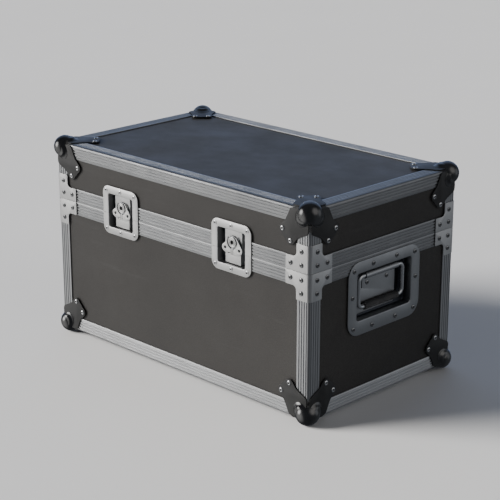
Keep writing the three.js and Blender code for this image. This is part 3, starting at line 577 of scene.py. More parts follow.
def ring_frame(build, profile):
    """Carries a section of (in from the outer face, height) round the case."""
    section = profile if area_of(profile) > 0 else profile[::-1]
    rings = [[(x, y, z) for x, y in plan_outline(d)] for d, z in section]
    build.rings(rings[::-1], closed=True)


def rim_profile(side):
    """Section of a rim; side is 1 for the lid and -1 for the base. Heights are from the parting line."""
    leg = [(deep, along) for along, deep in grooved(FIRST_RIM_GROOVE, RIM_LEG) + leg_end(RIM_LEG)]
    start = [(0.25, SEAM), (0.0, SEAM + 0.7)]
    web = BASE_WEB if side < 0 else LID_WEB
    inner = [(LEG_WALL, web), (CHANNEL, web), (CHANNEL, INNER_LEG), (CORE, INNER_LEG), (CORE, SEAM)]
    if side < 0:
        neck = TONGUE_BEVEL - TONGUE_HIGH
        joint = [(TONGUE_IN, SEAM), (TONGUE_IN, neck), (TONGUE_IN - 0.4, -TONGUE_HIGH),
                 (TONGUE_OUT + 0.4, -TONGUE_HIGH), (TONGUE_OUT, neck), (TONGUE_OUT, SEAM)]
    else:
        joint = [(SLOT_IN, SEAM), (SLOT_IN, SLOT_HIGH), (SLOT_OUT, SLOT_HIGH), (SLOT_OUT, SEAM)]
    return [(d, PARTING + side * s) for d, s in start + leg + inner + joint]


LATCH_HALF, LATCH_LOW, LATCH_HIGH, LATCH_DEEP = 31.0, -24.4, 34.8, 14.0     # the latch dish's hollow


def latch_block(x, spare, deep):
    """Lowest and highest corner of the block that a latch's dish takes out of its neighbours."""
    side = PRESSED + spare
    return ((x - LATCH_HALF - side, -HALF_WIDTH - 2, PARTING + LATCH_LOW - side),
            (x + LATCH_HALF + side, -HALF_WIDTH + deep, PARTING + LATCH_HIGH + side))


def make_extrusions():
    section = double_angle()
    for half, node, metal, level, sign in (("base", "base_bottom_frame", FLOOR_LIT_ALUMINIUM, BOTTOM, 1),
                                           ("lid", "lid_top_frame", ALUMINIUM, TOP, -1)):
        edges = Build()
        ring_frame(edges, [(d, level + sign * h) for d, h in section])
        edges.piece(f"{half}_edge_extrusions", half, metal, "edge_aluminium", [node])
        posts = Build()
        low, high = sorted((level + sign * (EDGE_LEG + 0.2), PARTING - sign * (RIM_LEG + GAP)))
        for where in CORNERS:
            posts.rings([[(x, y, z) for x, y in section] for z in (low, high)], matrix=corner(where, 0))
        posts.piece(f"{half}_corner_posts", half, POST_ALUMINIUM, "edge_aluminium")
        rim = Build()
        ring_frame(rim, rim_profile(-sign))
        rim_piece = rim.piece(f"{half}_rim_extrusion", half, ALUMINIUM, "edge_aluminium",
                              [f"{half}_rim_frame", f"{half}_rim_front_bar"])
        for x in LATCH_X.values():
            cut(rim_piece, *latch_block(x, 0.5, LATCH_DEEP + 2))


# ---- Rivets ----


def rivet(build, matrix, radius=4.1, height=1.7):
    """Domed pop rivet: a low head, and the hollow in it where the stem broke off, lined with near-black
    painted shade.
    """
    hollow, rim, brim = radius * 0.46, radius * 0.97, 0.3
    profile = [(0, -0.3), (radius * 0.96, -0.3), (radius, 0.05), (rim, brim)]
    profile += [(rim * math.cos(a) + hollow * 0.12, brim + (height - brim) * math.sin(a))
                for a in map(math.radians, (18, 34, 50, 64))]
    profile += [(hollow * 1.12, height), (hollow, height - 0.1), (hollow * 0.96, height - 0.5)]
    build.lathe(profile, 20, matrix)
    # The hollow's lining takes the piece's second material: near-black painted shade.
    build.look = 1
    build.lathe([(0, height - 0.5), (hollow * 0.97, height - 0.5), (hollow * 0.95, height - 0.22),
                 (hollow * 0.45, height - 0.3), (hollow * 0.4, height - 0.12), (0, height - 0.1)], 16, matrix)
    build.look = 0


def on(matrix, x, y, z=0.0):
    return matrix @ Matrix.Translation((x, y, z))


# ---- Ball corners and braces ----

BALL_PLATE = 1.3
LEG_FAR, LEG_NEAR = 57.0, 40.0     # a leg's rivets, from the two edges
LEG_INSET, LEG_ROOT = 2.3, 34.0    # a leg's straight sides: how far in from the edge, and where they end


def smooth_line(points, steps=6):
    """A smooth curve through points, as a Catmull-Rom spline."""
    made = []
    padded = [points[0]] + list(points) + [points[-1]]
    for p0, p1, p2, p3 in zip(padded, padded[1:], padded[2:], padded[3:]):
        for i in range(steps):
            t = i / steps
            made.append(tuple(0.5 * (2 * b + (c - a) * t + (2 * a - 5 * b + 4 * c - d) * t * t
                                     + (3 * b - a - 3 * c + d) * t ** 3)
                              for a, b, c, d in zip(p0, p1, p2, p3)))
    return made + [points[-1]]


WEB_IN, WEB_OUT = 0.1, 0.9          # the folded webs' two sides, out from the edge's nose
WEB_START, WEB_REACH = BALL_INSET + 4.0, 36.0
# Reach from the ball's middle, and height out of the plate
BALL_FOOT = ((23.5, GAP + 0.4), (23.5, 1.7), (22.9, 2.1), (20.8, 2.6), (18.9, 3.6), (17.2, 5.0), (15.4, 6.6),
             (0.0, 7.2))
FOOT_SPREAD = math.radians(80)


def ball_leg_outline():
    """One leg on its face: distances from the two edges, symmetric about their diagonal."""
    side = [(36.0, LEG_INSET), (41.0, 5.0), (46.0, 15.0), (51.5, 25.0), (58.5, 31.5)]
    lobe = [(62.5, 36.0), (64.0, 41.0), (61.5, 46.5), (57.5, 49.5), (54.0, 54.0)]
    half = smooth_line(side + lobe)
    root = [(LEG_INSET + 1, LEG_INSET + 1), (LEG_ROOT, LEG_INSET)]
    return root + half + [(y, x) for x, y in half[-2::-1]] + [(LEG_INSET, LEG_ROOT)]


# From a plate's own frame, with Z out, to its corner's
FACES_OF_CORNER = (turned((1, 0, 0), (0, 1, 0), (0, 0, -1)), turned((0, 0, -1), (1, 0, 0), (0, 1, 0)),
                   turned((0, 1, 0), (0, 0, -1), (1, 0, 0)))
NEXT_EDGE = turned((0, 0, 1), (1, 0, 0), (0, 1, 0))


def ball_surface(build, matrix):
    rings = []
    for polar in [math.pi * i / 28 for i in range(29)]:
        across, up = BALL_RADIUS * math.sin(polar), BALL_RADIUS * math.cos(polar)
        rings.append([(BALL_INSET + across * math.cos(a), BALL_INSET + across * math.sin(a), BALL_INSET - up)
                      for a in round_angles(48)])
    build.rings(rings, matrix=matrix)


def ball_foot(build, matrix):
    """The flare that leads from one plate up on to the ball, widest towards the plate's middle."""
    rings = []
    for reach, z in BALL_FOOT:
        skin = math.sqrt(BALL_RADIUS ** 2 - (z + BALL_INSET) ** 2) - 0.6     # just inside the ball
        ring = []
        for angle in round_angles(72):
            off = abs((angle - math.pi / 4 + math.pi) % (2 * math.pi) - math.pi)
            share = math.cos(min(off / FOOT_SPREAD, 1.0) * math.pi / 2) ** 2
            r = skin + (max(reach, skin) - skin) * share
            ring.append((BALL_INSET + r * math.cos(angle), BALL_INSET + r * math.sin(angle), z))
        rings.append(ring)
    build.rings(rings, matrix=matrix)


def post_webs(build, matrix):
    """The folds that join each leg to the next, round the three edges' noses, out to the legs' roots."""
    ring = arc(NOSE, NOSE, NOSE + WEB_OUT, 180, 270, 10) + arc(NOSE, NOSE, NOSE + WEB_IN, 270, 180, 10)
    for _ in range(3):
        build.rings([[(x, y, z) for x, y in ring] for z in (WEB_START, WEB_REACH)], matrix=matrix)
        matrix = matrix @ NEXT_EDGE


def make_ball_corners():
    outline = ball_leg_outline()
    for half, level, flipped in (("base", BOTTOM, False), ("lid", TOP, True)):
        rivets = Build()
        for where in CORNERS:
            matrix = corner(where, level, flipped)
            plates, ball = Build(), Build()
            for to_face in FACES_OF_CORNER:
                local = matrix @ to_face
                plates.plate(outline, z0=GAP, z1=GAP + BALL_PLATE, edge=0.45, matrix=local)
                for x, y in ((LEG_FAR, LEG_NEAR), (LEG_NEAR, LEG_FAR)):
                    rivet(rivets, on(local, x, y, GAP + BALL_PLATE))
                ball_foot(ball, local)
            post_webs(plates, matrix)
            ball_surface(ball, matrix)
            plates.piece(f"{half}_corner_plates_{where}", half, SATIN_BLACK, "corner_black",
                         [f"{half}_ball_corner_{where}"])
            ball.piece(f"{half}_corner_ball_{where}", half, BALL_BLACK, "corner_black")
        rivets.piece(f"{half}_ball_corner_rivets", half, (RIVET, RIVET_HOLLOW_SHADE), "rivet_steel")


BRACE_REACH, BRACE_BAND, BRACE_POST, BRACE_HEIGHT, BRACE_FILLET = 50.0, 24.0, 27.0, 46.0, 7.5
BRACE_RIVETS = ((16.0, -12.0), (39.0, -12.0), (16.0, -34.0))
BRACE_EDGE = 0.35
BRACE_FACES = (turned((1, 0, 0), (0, 0, -1), (0, 1, 0)), FACES_OF_CORNER[1])


def brace_outline():
    """One side of a brace, flat: from the middle of the nose out, and down from the parting line."""
    corner_round = 2.0
    points = [(NOSE, -SEAM), (NOSE, -BRACE_HEIGHT)]
    points += arc(BRACE_POST - corner_round, -BRACE_HEIGHT + corner_round, corner_round, 270, 360, 4)
    points += arc(BRACE_POST + BRACE_FILLET, -BRACE_BAND - BRACE_FILLET, BRACE_FILLET, 180, 90, 8)
    points += arc(BRACE_REACH - corner_round, -BRACE_BAND + corner_round, corner_round, 270, 360, 4)
    points += arc(BRACE_REACH - 0.6, -SEAM - 0.6, 0.6, 0, 90, 2)
    return points


def brace_sides(build, matrix):
    """Both flat sides and the round nose between them."""
    inner, outer = GAP, GAP + PRESSED
    for to_face in BRACE_FACES:
        build.plate(brace_outline(), z0=inner, z1=outer, edge=BRACE_EDGE, matrix=matrix @ to_face)
    sweep = []
    for z in (-BRACE_HEIGHT, -BRACE_HEIGHT + BRACE_EDGE, -SEAM - BRACE_EDGE, -SEAM):
        trim = BRACE_EDGE if z in (-BRACE_HEIGHT, -SEAM) else 0.0
        ring = arc(NOSE, NOSE, NOSE + outer - trim, 180, 270, 10)
        ring += arc(NOSE, NOSE, NOSE + inner, 270, 180, 10)
        sweep.append([(x, y, z) for x, y in ring])
    build.rings(sweep, matrix=matrix)


def make_braces():
    for half, flipped in (("base", False), ("lid", True)):
        rivets = Build()
        for where in CORNERS:
            matrix = corner(where, PARTING, flipped)
            plates = Build()
            brace_sides(plates, matrix)
            for to_face in BRACE_FACES:
                for x, y in BRACE_RIVETS:
                    rivet(rivets, on(matrix @ to_face, x, y, GAP + PRESSED))
            plates.piece(f"{half}_corner_brace_{where}", half, ZINC, "brace_zinc", [f"{half}_brace_{where}"])
        rivets.piece(f"{half}_brace_rivets", half, (DARK_RIVET, RIVET_HOLLOW_SHADE), "rivet_steel")


# ---- Recessed dishes ----


def grown(rectangle, by):
    """A rounded rectangle (x0, y0, x1, y1, radius) with its sides moved out."""
    x0, y0, x1, y1, radius = rectangle
    return x0 - by, y0 - by, x1 + by, y1 + by, max(radius + by, 0.4)


def pressed_dish(build, flange, window, depth, matrix, lip=1.5, foot=2.4):
    """A pressed tray with a flange: rings run from the back of its floor, over the flange, to its front.
    lip and foot are the bends at the hollow's mouth and at its floor."""
    front, back, t = GAP + PRESSED, GAP, PRESSED
    levels = [(window, -foot, -depth - t), (window, -foot * 0.3 + t, -depth - t + 0.7),
              (window, t, -depth + foot * 0.6), (window, t, back - lip), (window, t + 0.4, back - 0.4),
              (window, t + lip, back), (flange, -0.3, back), (flange, 0.0, back + 0.3),
              (flange, 0.0, front - 0.6), (flange, -0.18, front - 0.18), (flange, -0.6, front)]
    levels += [(window, lip * (1 - math.sin(a)), front - lip * (1 - math.cos(a)))
               for a in map(math.radians, (0, 22, 45, 68, 90))]
    levels += [(window, 0.0, -depth + foot)]
    levels += [(window, -foot * (1 - math.cos(a)), -depth + foot * (1 - math.sin(a)))
               for a in map(math.radians, (30, 60, 90))]
    rings = []
    for outline, by, z in levels:
        x0, y0, x1, y1, radius = grown(outline, by)
        rings.append([(x, y, z) for x, y in rounded(x0, y0, x1, y1, radius, 9)])
    build.rings(rings, matrix=matrix)


def halve(obj, keep_above):
    """Keeps what is on one side of the parting line, with the seam's gap."""
    reach, beyond = 2 * HALF_LENGTH, 200
    low, high = (SEAM - beyond, SEAM) if keep_above else (-SEAM, beyond - SEAM)
    cut(obj, (-reach, -reach, PARTING + low), (reach, reach, PARTING + high))


# ---- Butterfly latches; heights are above the parting line ----

LATCH_FLANGE = (-45.5, -37.3, 45.5, 49.0, 15.0)
LATCH_WINDOW = (-LATCH_HALF, LATCH_LOW, LATCH_HALF, LATCH_HIGH, 3.5)
LATCH_RIVETS = ((-36.5, 40.5), (0.0, 42.0), (36.5, 40.5), (-36.5, -28.8), (0.0, -31.0), (36.5, -28.8))
COVER_HALF, COVER_FRONT = 19.4, -4.5      # plate that the mechanism turns in
KEEPER_HALF, KEEPER_FRONT, KEEPER_LOW = 17.6, -3.4, LATCH_LOW + 1.6
CAM_HEIGHT, CAM_RADIUS, CAM_HEAD, HOLE = 13.6, 10.8, 8.6, 3.7
FLANGE_BACK, FLANGE_FRONT, HEAD_FRONT = -3.3, -2.6, -0.5     # depths of the cam and its head
DISC_RADIUS, DISC_BACK, DISC_FRONT = 10.0, -4.7, -3.6
DISC_ROOM = DISC_RADIUS + 0.5
HOOK_BACK, HOOK_FRONT = -6.6, -5.9
WING_AXIS, WING_BACK, WING_FRONT = 3.2, -3.0, -0.8
WING_HEEL, WING_LOW = 0.9, -7.6
WING_ROOM = CAM_RADIUS + 0.7
EYE_OUT, EYE_UP, EYE_RADIUS, LOBE = 16.0, 2.6, 2.4, 7.2
PAN_FLOOR = -LATCH_DEEP + 0.2


def bracket(build, outline, half, front, low, high, matrix):
    """A plate with its sides bent back to the dish's floor."""
    build.plate(outline, z0=front - PRESSED, z1=front, edge=0.5, matrix=matrix)
    for sign in (-1, 1):
        x0, x1 = sorted((sign * (half - 0.1), sign * (half - 1.4)))
        build.plate(rounded(x0, low, x1, high, 0.3, 2), z0=PAN_FLOOR, z1=front - PRESSED + 0.3, edge=0.2,
                    matrix=matrix)


def level_angle(level):
    """Where the room round the turning disc crosses a level, on its right, in degrees."""
    return math.degrees(math.asin((level - TURN_HEIGHT) / DISC_ROOM))


def keeper_outline(half, low, high):
    """A plate whose upper side is cut out round the disc."""
    slope = level_angle(high)
    notch = arc(0, TURN_HEIGHT, DISC_ROOM, slope, -180 - slope)
    return [(-half, low), (half, low), (half, high)] + notch + [(-half, high)]


def cover_outline(half, low, high):
    """A plate whose lower side is cut out round the disc, with round upper corners."""
    slope, r = level_angle(low), 1.6
    return ([(-half, low)] + arc(0, TURN_HEIGHT, DISC_ROOM, 180 - slope, slope, 20) + [(half, low)] +
            arc(half - r, high - r, r, 0, 90, 4) + arc(-half + r, high - r, r, 90, 180, 4))


def slit(x0, y0, x1, y1, radius, steps=5):
    """A slot with round ends between two points."""
    angle = math.degrees(math.atan2(y1 - y0, x1 - x0))
    return (arc(x0, y0, radius, angle + 90, angle + 270, steps) +
            arc(x1, y1, radius, angle - 90, angle + 90, steps))


def wing_outline(swept):
    """Right wing. A swept one has a straight upper edge; the other one hugs the cam."""
    seam = WING_AXIS - WING_HEEL
    lobe_low = arc(EYE_OUT, EYE_UP, LOBE, -70, 40 if swept else 62, 10)
    if swept:
        top = [(9.6, 22.6), (8.9, 23.0), (8.2, 22.6)]
    else:
        top = smooth_line([lobe_low[-1], (15.2, 11.4), (12.6, 14.2), (11.0, 18.0), (9.6, 21.4)], 4)[1:]
    start = math.degrees(math.atan2(top[-1][1] - CAM_HEIGHT, top[-1][0]))
    last = -math.degrees(math.acos((seam + 0.05) / WING_ROOM))
    cam = arc(0, CAM_HEIGHT, WING_ROOM, min(start, 48), last, 14)
    return [(seam, WING_LOW), (EYE_OUT - 5.5, WING_LOW)] + lobe_low + top + cam


def latch_boss(build, matrix):
    """The round cam and its head, with a groove and a hole lined with near-black painted shade; the strip
    between the wings; the disc.
    """
    centre = matrix @ Matrix.Translation((0, CAM_HEIGHT, 0))
    build.lathe([(0, FLANGE_BACK), (CAM_RADIUS, FLANGE_BACK), (CAM_RADIUS, FLANGE_FRONT - 0.2),
                 (CAM_RADIUS - 0.2, FLANGE_FRONT), (CAM_HEAD + 0.1, FLANGE_FRONT), (CAM_HEAD, -2.4),
                 (CAM_HEAD, -1.0), (CAM_HEAD - 0.2, -0.65), (CAM_HEAD - 0.6, HEAD_FRONT), (6.4, HEAD_FRONT),
                 (6.2, -0.62), (6.0, -1.0), (5.6, -1.0), (5.4, -0.62), (5.2, HEAD_FRONT),
                 (HOLE + 0.5, HEAD_FRONT), (HOLE + 0.1, -0.7), (HOLE, -1.2), (HOLE, -3.0), (0, -3.0)],
                40, centre)
    # The hole's lining takes the second material: near-black painted shade.
    build.look = 1
    build.lathe([(0, -3.1), (HOLE + 0.03, -3.1), (HOLE - 0.02, -1.3), (HOLE - 0.3, -1.3), (HOLE - 0.3, -2.8),
                 (0, -2.8)], 24, centre)
    build.look = 0
    strip = WING_AXIS - 1.65
    build.plate(rounded(-strip, WING_LOW, strip, CAM_HEIGHT - CAM_RADIUS + 0.6, 0.2, 2),
                z0=DISC_FRONT - 0.05, z1=WING_FRONT, edge=0.15, matrix=matrix)
    build.lathe([(0, DISC_BACK), (DISC_RADIUS, DISC_BACK), (DISC_RADIUS, DISC_FRONT - 0.2),
                 (DISC_RADIUS - 0.2, DISC_FRONT), (0, DISC_FRONT)], 40, on(matrix, 0, TURN_HEIGHT))


def make_wing(which, sign, matrix):
    """One half of the butterfly, with its eye and its hinge's barrel; the left one has a slot too."""
    side = "right" if sign > 0 else "left"
    mirrored = matrix @ Matrix.Scale(sign, 4, (1, 0, 0))
    build = Build()
    holes = [circle(EYE_OUT, EYE_UP, EYE_RADIUS, 20)]
    if sign < 0:
        holes.append(slit(3.4, -4.0, 9.4, -5.9, 0.6))
    build.plate(wing_outline(sign > 0), holes, z0=WING_BACK - 0.1, z1=WING_FRONT, edge=0.35, matrix=mirrored)
    barrel = (WING_FRONT + WING_BACK) / 2 + 0.1
    build.tube([(WING_AXIS, -7.5, barrel), (WING_AXIS, 1.4, barrel)], 1.05, 14, matrix=mirrored)
    wing = f"wing_{side}_of_{which}"
    build.piece(f"latch_{wing}_pressing", wing, LATCH_MOVER, "latch_zinc", [f"latch_{wing}"])


def make_latches():
    for which, x in LATCH_X.items():
        matrix = face("front", x, PARTING)
        for half, above in (("lid", True), ("base", False)):
            dish = Build()
            pressed_dish(dish, LATCH_FLANGE, LATCH_WINDOW, LATCH_DEEP, matrix)
            piece = dish.piece(f"latch_{half}_dish_pressing_{which}", half, LATCH_PAN, "latch_zinc",
                               [f"latch_{half}_dish_{which}"])
            halve(piece, above)
            rivets = Build()
            for rx, ry in LATCH_RIVETS:
                if (ry > 0) == above:
                    rivet(rivets, on(matrix, rx, ry, GAP + PRESSED), 3.6, 1.0)
            rivets.piece(f"latch_{half}_rivets_{which}", half, (RIVET, RIVET_HOLLOW_SHADE), "rivet_steel")
        cover, keeper, seam = Build(), Build(), SEAM + 0.1
        bracket(cover, cover_outline(COVER_HALF, seam, LATCH_HIGH - 0.4), COVER_HALF, COVER_FRONT, seam,
                LATCH_HIGH - 0.6, matrix)
        cover.piece(f"latch_cover_{which}", "lid", ZINC, "latch_zinc")
        bracket(keeper, keeper_outline(KEEPER_HALF, KEEPER_LOW, -seam), KEEPER_HALF, KEEPER_FRONT, KEEPER_LOW,
                -seam, matrix)
        keeper.piece(f"latch_keeper_{which}", "base", ZINC, "latch_zinc")
        hook = Build()
        slot = rounded(-6, CAM_HEIGHT - 2, 6, CAM_HEIGHT + 2, 1.9)     # the cam's pin runs in it
        hook.plate(rounded(-9, -7.5, 9, 17, (3, 3, 6, 6)), [slot], z0=HOOK_BACK, z1=HOOK_FRONT, edge=0.3,
                   matrix=matrix)
        hook.piece(f"latch_hook_blade_{which}", f"hook_{which}", ZINC, "latch_zinc", [f"latch_hook_{which}"])
        boss = Build()
        latch_boss(boss, matrix)
        boss.piece(f"latch_turning_boss_{which}", f"latch_{which}", (LATCH_BOSS, RIVET_HOLLOW_SHADE), "latch_zinc",
                   [f"latch_drive_{which}"])
        for sign in (-1, 1):
            make_wing(which, sign, matrix)


# ---- Drop handles; places are from the middle of the dish ----

HANDLE_FLANGE = (-89.0, -62.5, 89.0, 62.5, 26.0)
HANDLE_WINDOW = (-67.0, -38.0, 67.0, 42.0, 5.0)
HANDLE_DEEP = 15.5
HANDLE_RIVETS = ((-75.5, 48.5), (75.5, 48.5), (-75.5, -49.5), (75.5, -49.5), (-29.0, 52.6), (29.0, 52.6),
                 (-29.0, -52.6), (29.0, -52.6), (-78.5, 4.5), (78.5, 4.5))
ROD, ROD_DEEP = 3.75, 7.5
BAIL_HALF, BAIL_TOP, BAIL_LOW, BAIL_BEND = 54.25, 32.0, -20.0, 9.0
CRADLE_HALF, CRADLE_EAR, CRADLE_PLATE = 40.0, 5.0, 1.6
CRADLE_RIVETS = (-29.0, 19.5)
FLOOR_STEP = 2.2      # the left of the dish's floor stands this much proud of the rest
STEP_FRONT = -HANDLE_DEEP + FLOOR_STEP
STEP_PLAN = (-64.0, -33.5, 41.0, 36.0)
GRIP_HALF, GRIP_RADIUS, RIB_DEEP, RIB_PITCH = 42.0, 6.3, 0.28, 10.5


def bail_path():
    """Centre line: in from the left end, down, along the grip, up and in again."""
    end, r = 3.0, BAIL_BEND
    side, top, low = BAIL_HALF - r, BAIL_TOP - r, BAIL_LOW + r
    points = [(-end, BAIL_TOP)] + arc(-side, top, r, 90, 180) + arc(-side, low, r, 180, 270)
    points += arc(side, low, r, -90, 0) + arc(side, top, r, 0, 90) + [(end, BAIL_TOP)]
    return [(x, y, -ROD_DEEP) for x, y in points]


def handle_grip(build, matrix):
    """Moulded sleeve with a collar at each end and shallow finger ribs."""
    profile = [(0.0, -GRIP_HALF)]
    stations, collar, bend = 60, 5.0, 1.6
    for i in range(stations + 1):
        at = -GRIP_HALF + 2 * GRIP_HALF * i / stations
        from_end = GRIP_HALF - abs(at)
        radius = GRIP_RADIUS - RIB_DEEP * (0.5 + 0.5 * math.cos(at * 2 * math.pi / RIB_PITCH))
        if from_end < collar:
            radius = GRIP_RADIUS - 0.1
        if from_end < bend:
            radius = GRIP_RADIUS - bend + math.sqrt(max(bend ** 2 - (bend - from_end) ** 2, 0.0))
        profile.append((radius, at))
    profile.append((0.0, GRIP_HALF))
    along = Matrix.Translation((0, BAIL_LOW, -ROD_DEEP)) @ Matrix.Rotation(math.pi / 2, 4, "Y")
    build.lathe(profile, 24, matrix @ along)


def cradle(build, matrix):
    """Plate on the floor's step, with a slit, and the barrel that it wraps round the rod."""
    back = STEP_FRONT + 0.2
    ear = -CRADLE_HALF - CRADLE_EAR / 2
    ear_slot = rounded(ear - 1.1, 9.5, ear + 1.1, 27.5, 1.0, 5)
    build.plate(rounded(-CRADLE_HALF - CRADLE_EAR, -14.0, CRADLE_HALF, BAIL_TOP - 1.0, 1.5, 4), [ear_slot],
                z0=back, z1=back + CRADLE_PLATE, edge=0.5, matrix=matrix)
    ring = []
    for r, degrees in ((ROD + CRADLE_PLATE, range(-150, 171, 20)), (ROD + 0.25, range(170, -151, -20))):
        ring += [(BAIL_TOP + r * math.sin(a), -ROD_DEEP + r * math.cos(a))
                 for a in map(math.radians, degrees)]
    build.rings([[(x, y, z) for y, z in ring] for x in (CRADLE_HALF, -CRADLE_HALF)], matrix=matrix)
    build.plate(rounded(-CRADLE_HALF, BAIL_TOP - 4.6, CRADLE_HALF, BAIL_TOP - 3.2, 0.3, 2), z0=back + 0.5,
                z1=-ROD_DEEP - 2.4, edge=0.2, matrix=matrix)


def make_handles():
    for which in ("left", "right"):
        matrix = face(which, 0, HANDLE_Z)
        dish = Build()
        pressed_dish(dish, HANDLE_FLANGE, HANDLE_WINDOW, HANDLE_DEEP, matrix, 1.8, 3.0)
        dish.piece(f"handle_dish_pressing_{which}", "base", HANDLE_PAN, "handle_zinc",
                   [f"handle_dish_{which}"])
        step = Build()
        step.plate(rounded(*STEP_PLAN, 3.0, 6), z0=-HANDLE_DEEP + 0.05, z1=STEP_FRONT, edge=1.2,
                   matrix=matrix, back_edge=0.1)
        step.piece(f"handle_floor_step_{which}", "base", DARK_ZINC, "handle_zinc")
        rivets = Build()
        for x, y in HANDLE_RIVETS:
            rivet(rivets, on(matrix, x, y, GAP + PRESSED))
        for x in CRADLE_RIVETS:
            rivet(rivets, on(matrix, x, 17.0, STEP_FRONT + 1.9), 3.9, 1.5)
        rivets.piece(f"handle_rivets_{which}", "base", (DARK_RIVET, RIVET_HOLLOW_SHADE), "rivet_steel")
        plate = Build()
        cradle(plate, matrix)
        plate.piece(f"handle_cradle_plate_{which}", "base", DARK_ZINC, "handle_zinc",
                    [f"handle_cradle_{which}"])
        bail = Build()
        bail.tube(bail_path(), ROD, 18, matrix=matrix)
        bail.piece(f"handle_bail_rod_{which}", f"handle_{which}", BAIL_STEEL, "handle_zinc",
                   [f"handle_bail_{which}"], 50)
        grip = Build()
        handle_grip(grip, matrix)
        grip.piece(f"handle_grip_sleeve_{which}", f"handle_{which}", RUBBER, "grip_rubber",
                   [f"handle_grip_{which}"], 50)


# ---- Rear hinges ----

HINGE_HALF, HINGE_REACH, HINGE_PLATE = 35.0, 30.0, 1.8
KNUCKLE, KNUCKLE_MIDDLE = 3.5, 11.5
HINGE_RIVET_OUT, HINGE_RIVET_UP = 23.0, 16.5
PIN = 1.6


def make_hinges():
    for which, x in HINGE_X.items():
        matrix = face("back", -x, PARTING)
        leaves = (("base", -1, ((-HINGE_HALF, -KNUCKLE_MIDDLE - 0.3), (KNUCKLE_MIDDLE + 0.3, HINGE_HALF))),
                  ("lid", 1, ((-KNUCKLE_MIDDLE, KNUCKLE_MIDDLE),)))
        for body, sign, spans in leaves:
            leaf, rivets = Build(), Build()
            near = KNUCKLE + 0.5
            y0, y1 = sorted((sign * near, sign * HINGE_REACH))
            round_ends = (4, 4, 0.4, 0.4) if sign < 0 else (0.4, 0.4, 4, 4)
            leaf.plate(rounded(-HINGE_HALF, y0, HINGE_HALF, y1, round_ends, 6), z0=GAP, z1=GAP + HINGE_PLATE,
                       edge=0.4, matrix=matrix)
            for from_x, to_x in spans:
                n0, n1 = sorted((0.6 * sign, sign * (near + 1)))
                leaf.plate(rounded(from_x, n0, to_x, n1, 0.1, 1), z0=GAP, z1=GAP + HINGE_PLATE, edge=0.05,
                           matrix=matrix)
                barrel = [(PIN + 0.3, from_x), (KNUCKLE - 0.3, from_x), (KNUCKLE, from_x + 0.3),
                          (KNUCKLE, to_x - 0.3), (KNUCKLE - 0.3, to_x), (PIN + 0.3, to_x)]
                leaf.rings([[(at, r * math.cos(a), HINGE_OUT + r * math.sin(a)) for a in round_angles(24)]
                            for r, at in barrel], closed=True, matrix=matrix)
            leaf.piece(f"hinge_{body}_leaf_plate_{which}", body, ZINC, "latch_zinc",
                       [f"hinge_{body}_leaf_{which}"])
            for rx in (-HINGE_RIVET_OUT, 0, HINGE_RIVET_OUT):
                rivet(rivets, on(matrix, rx, sign * HINGE_RIVET_UP, GAP + HINGE_PLATE))
            rivets.piece(f"hinge_{body}_rivets_{which}", body, (RIVET, RIVET_HOLLOW_SHADE), "rivet_steel")
        pin, end, bevel = Build(), HINGE_HALF, 0.4
        profile = [(0, -end), (PIN - bevel, -end), (PIN, -end + bevel),
                   (PIN, end - bevel), (PIN - bevel, end), (0, end)]
        pin.lathe(profile, 20, on(matrix, 0, 0, HINGE_OUT) @ Matrix.Rotation(math.pi / 2, 4, "Y"))
        pin.piece(f"hinge_pin_rod_{which}", "base", ZINC, "latch_zinc", [f"hinge_pin_{which}"])


# ---- Foam ----

FOAM_WALL, FOAM_ROUND = 20.0, 5.0
BUMP_PITCH, BUMP_HEIGHT = 34.0, 9.0
FOAM_SPARE = 1.0      # clearance round the dishes


def foam_tray(build, node, opens_up):
    """Walls with soft edges round a floor of egg-crate foam, upright or turned over."""
    low, high = box_mm(node)
    depth = high.z - low.z
    base = Matrix.Translation((0, 0, low.z if opens_up else high.z))
    if not opens_up:
        base = base @ Matrix.Rotation(math.pi, 4, "X")
    ix, iy = (high.x - low.x) / 2 - FOAM_WALL, (high.y - low.y) / 2 - FOAM_WALL
    columns, rows = 110, 56
    inner = [(-ix + 2 * ix * i / columns, -iy) for i in range(columns)]
    inner += [(ix, -iy + 2 * iy * i / rows) for i in range(rows)]
    inner += [(ix - 2 * ix * i / columns, iy) for i in range(columns)]
    inner += [(-ix, iy - 2 * iy * i / rows) for i in range(rows)]

    def ring(out, z):
        return [(x * (ix + out) / ix, y * (iy + out) / iy, z) for x, y in inner]

    r, shoulder = FOAM_ROUND, depth - FOAM_ROUND
    rings = [ring(FOAM_WALL - 1, 0), ring(FOAM_WALL, 1), ring(FOAM_WALL, shoulder)]
    rings += [ring(FOAM_WALL - r * (1 - math.cos(a)), shoulder + r * math.sin(a))
              for a in map(math.radians, (30, 60, 90))]
    rings += [ring(r * (1 - math.sin(a)), shoulder + r * math.cos(a))
              for a in map(math.radians, (0, 30, 60, 90))]
    rings += [ring(-0.8 * math.sin(math.pi * k / 5), shoulder - (shoulder - FOAM_WALL) * k / 5)
              for k in range(1, 6)]
    build.rings(rings, caps=False, matrix=base)
    points, faces = [], []
    for j in range(rows + 1):
        for i in range(columns + 1):
            x, y = -ix + 2 * ix * i / columns, -iy + 2 * iy * j / rows
            edge = min(i, columns - i, j, rows - j)
            wave = math.sin(x * 2 * math.pi / BUMP_PITCH) * math.sin(y * 2 * math.pi / BUMP_PITCH)
            swell = 0.5 + 0.5 * wave
            points.append((x, y, FOAM_WALL - BUMP_HEIGHT * (1 - swell) * min(edge / 3, 1)))
    for j in range(rows):
        for i in range(columns):
            a = j * (columns + 1) + i
            faces.append([a, a + 1, a + columns + 2, a + columns + 1])
    build.add(points, faces, base)
    build.add(rings[0], [list(range(len(inner)))[::-1]], base)


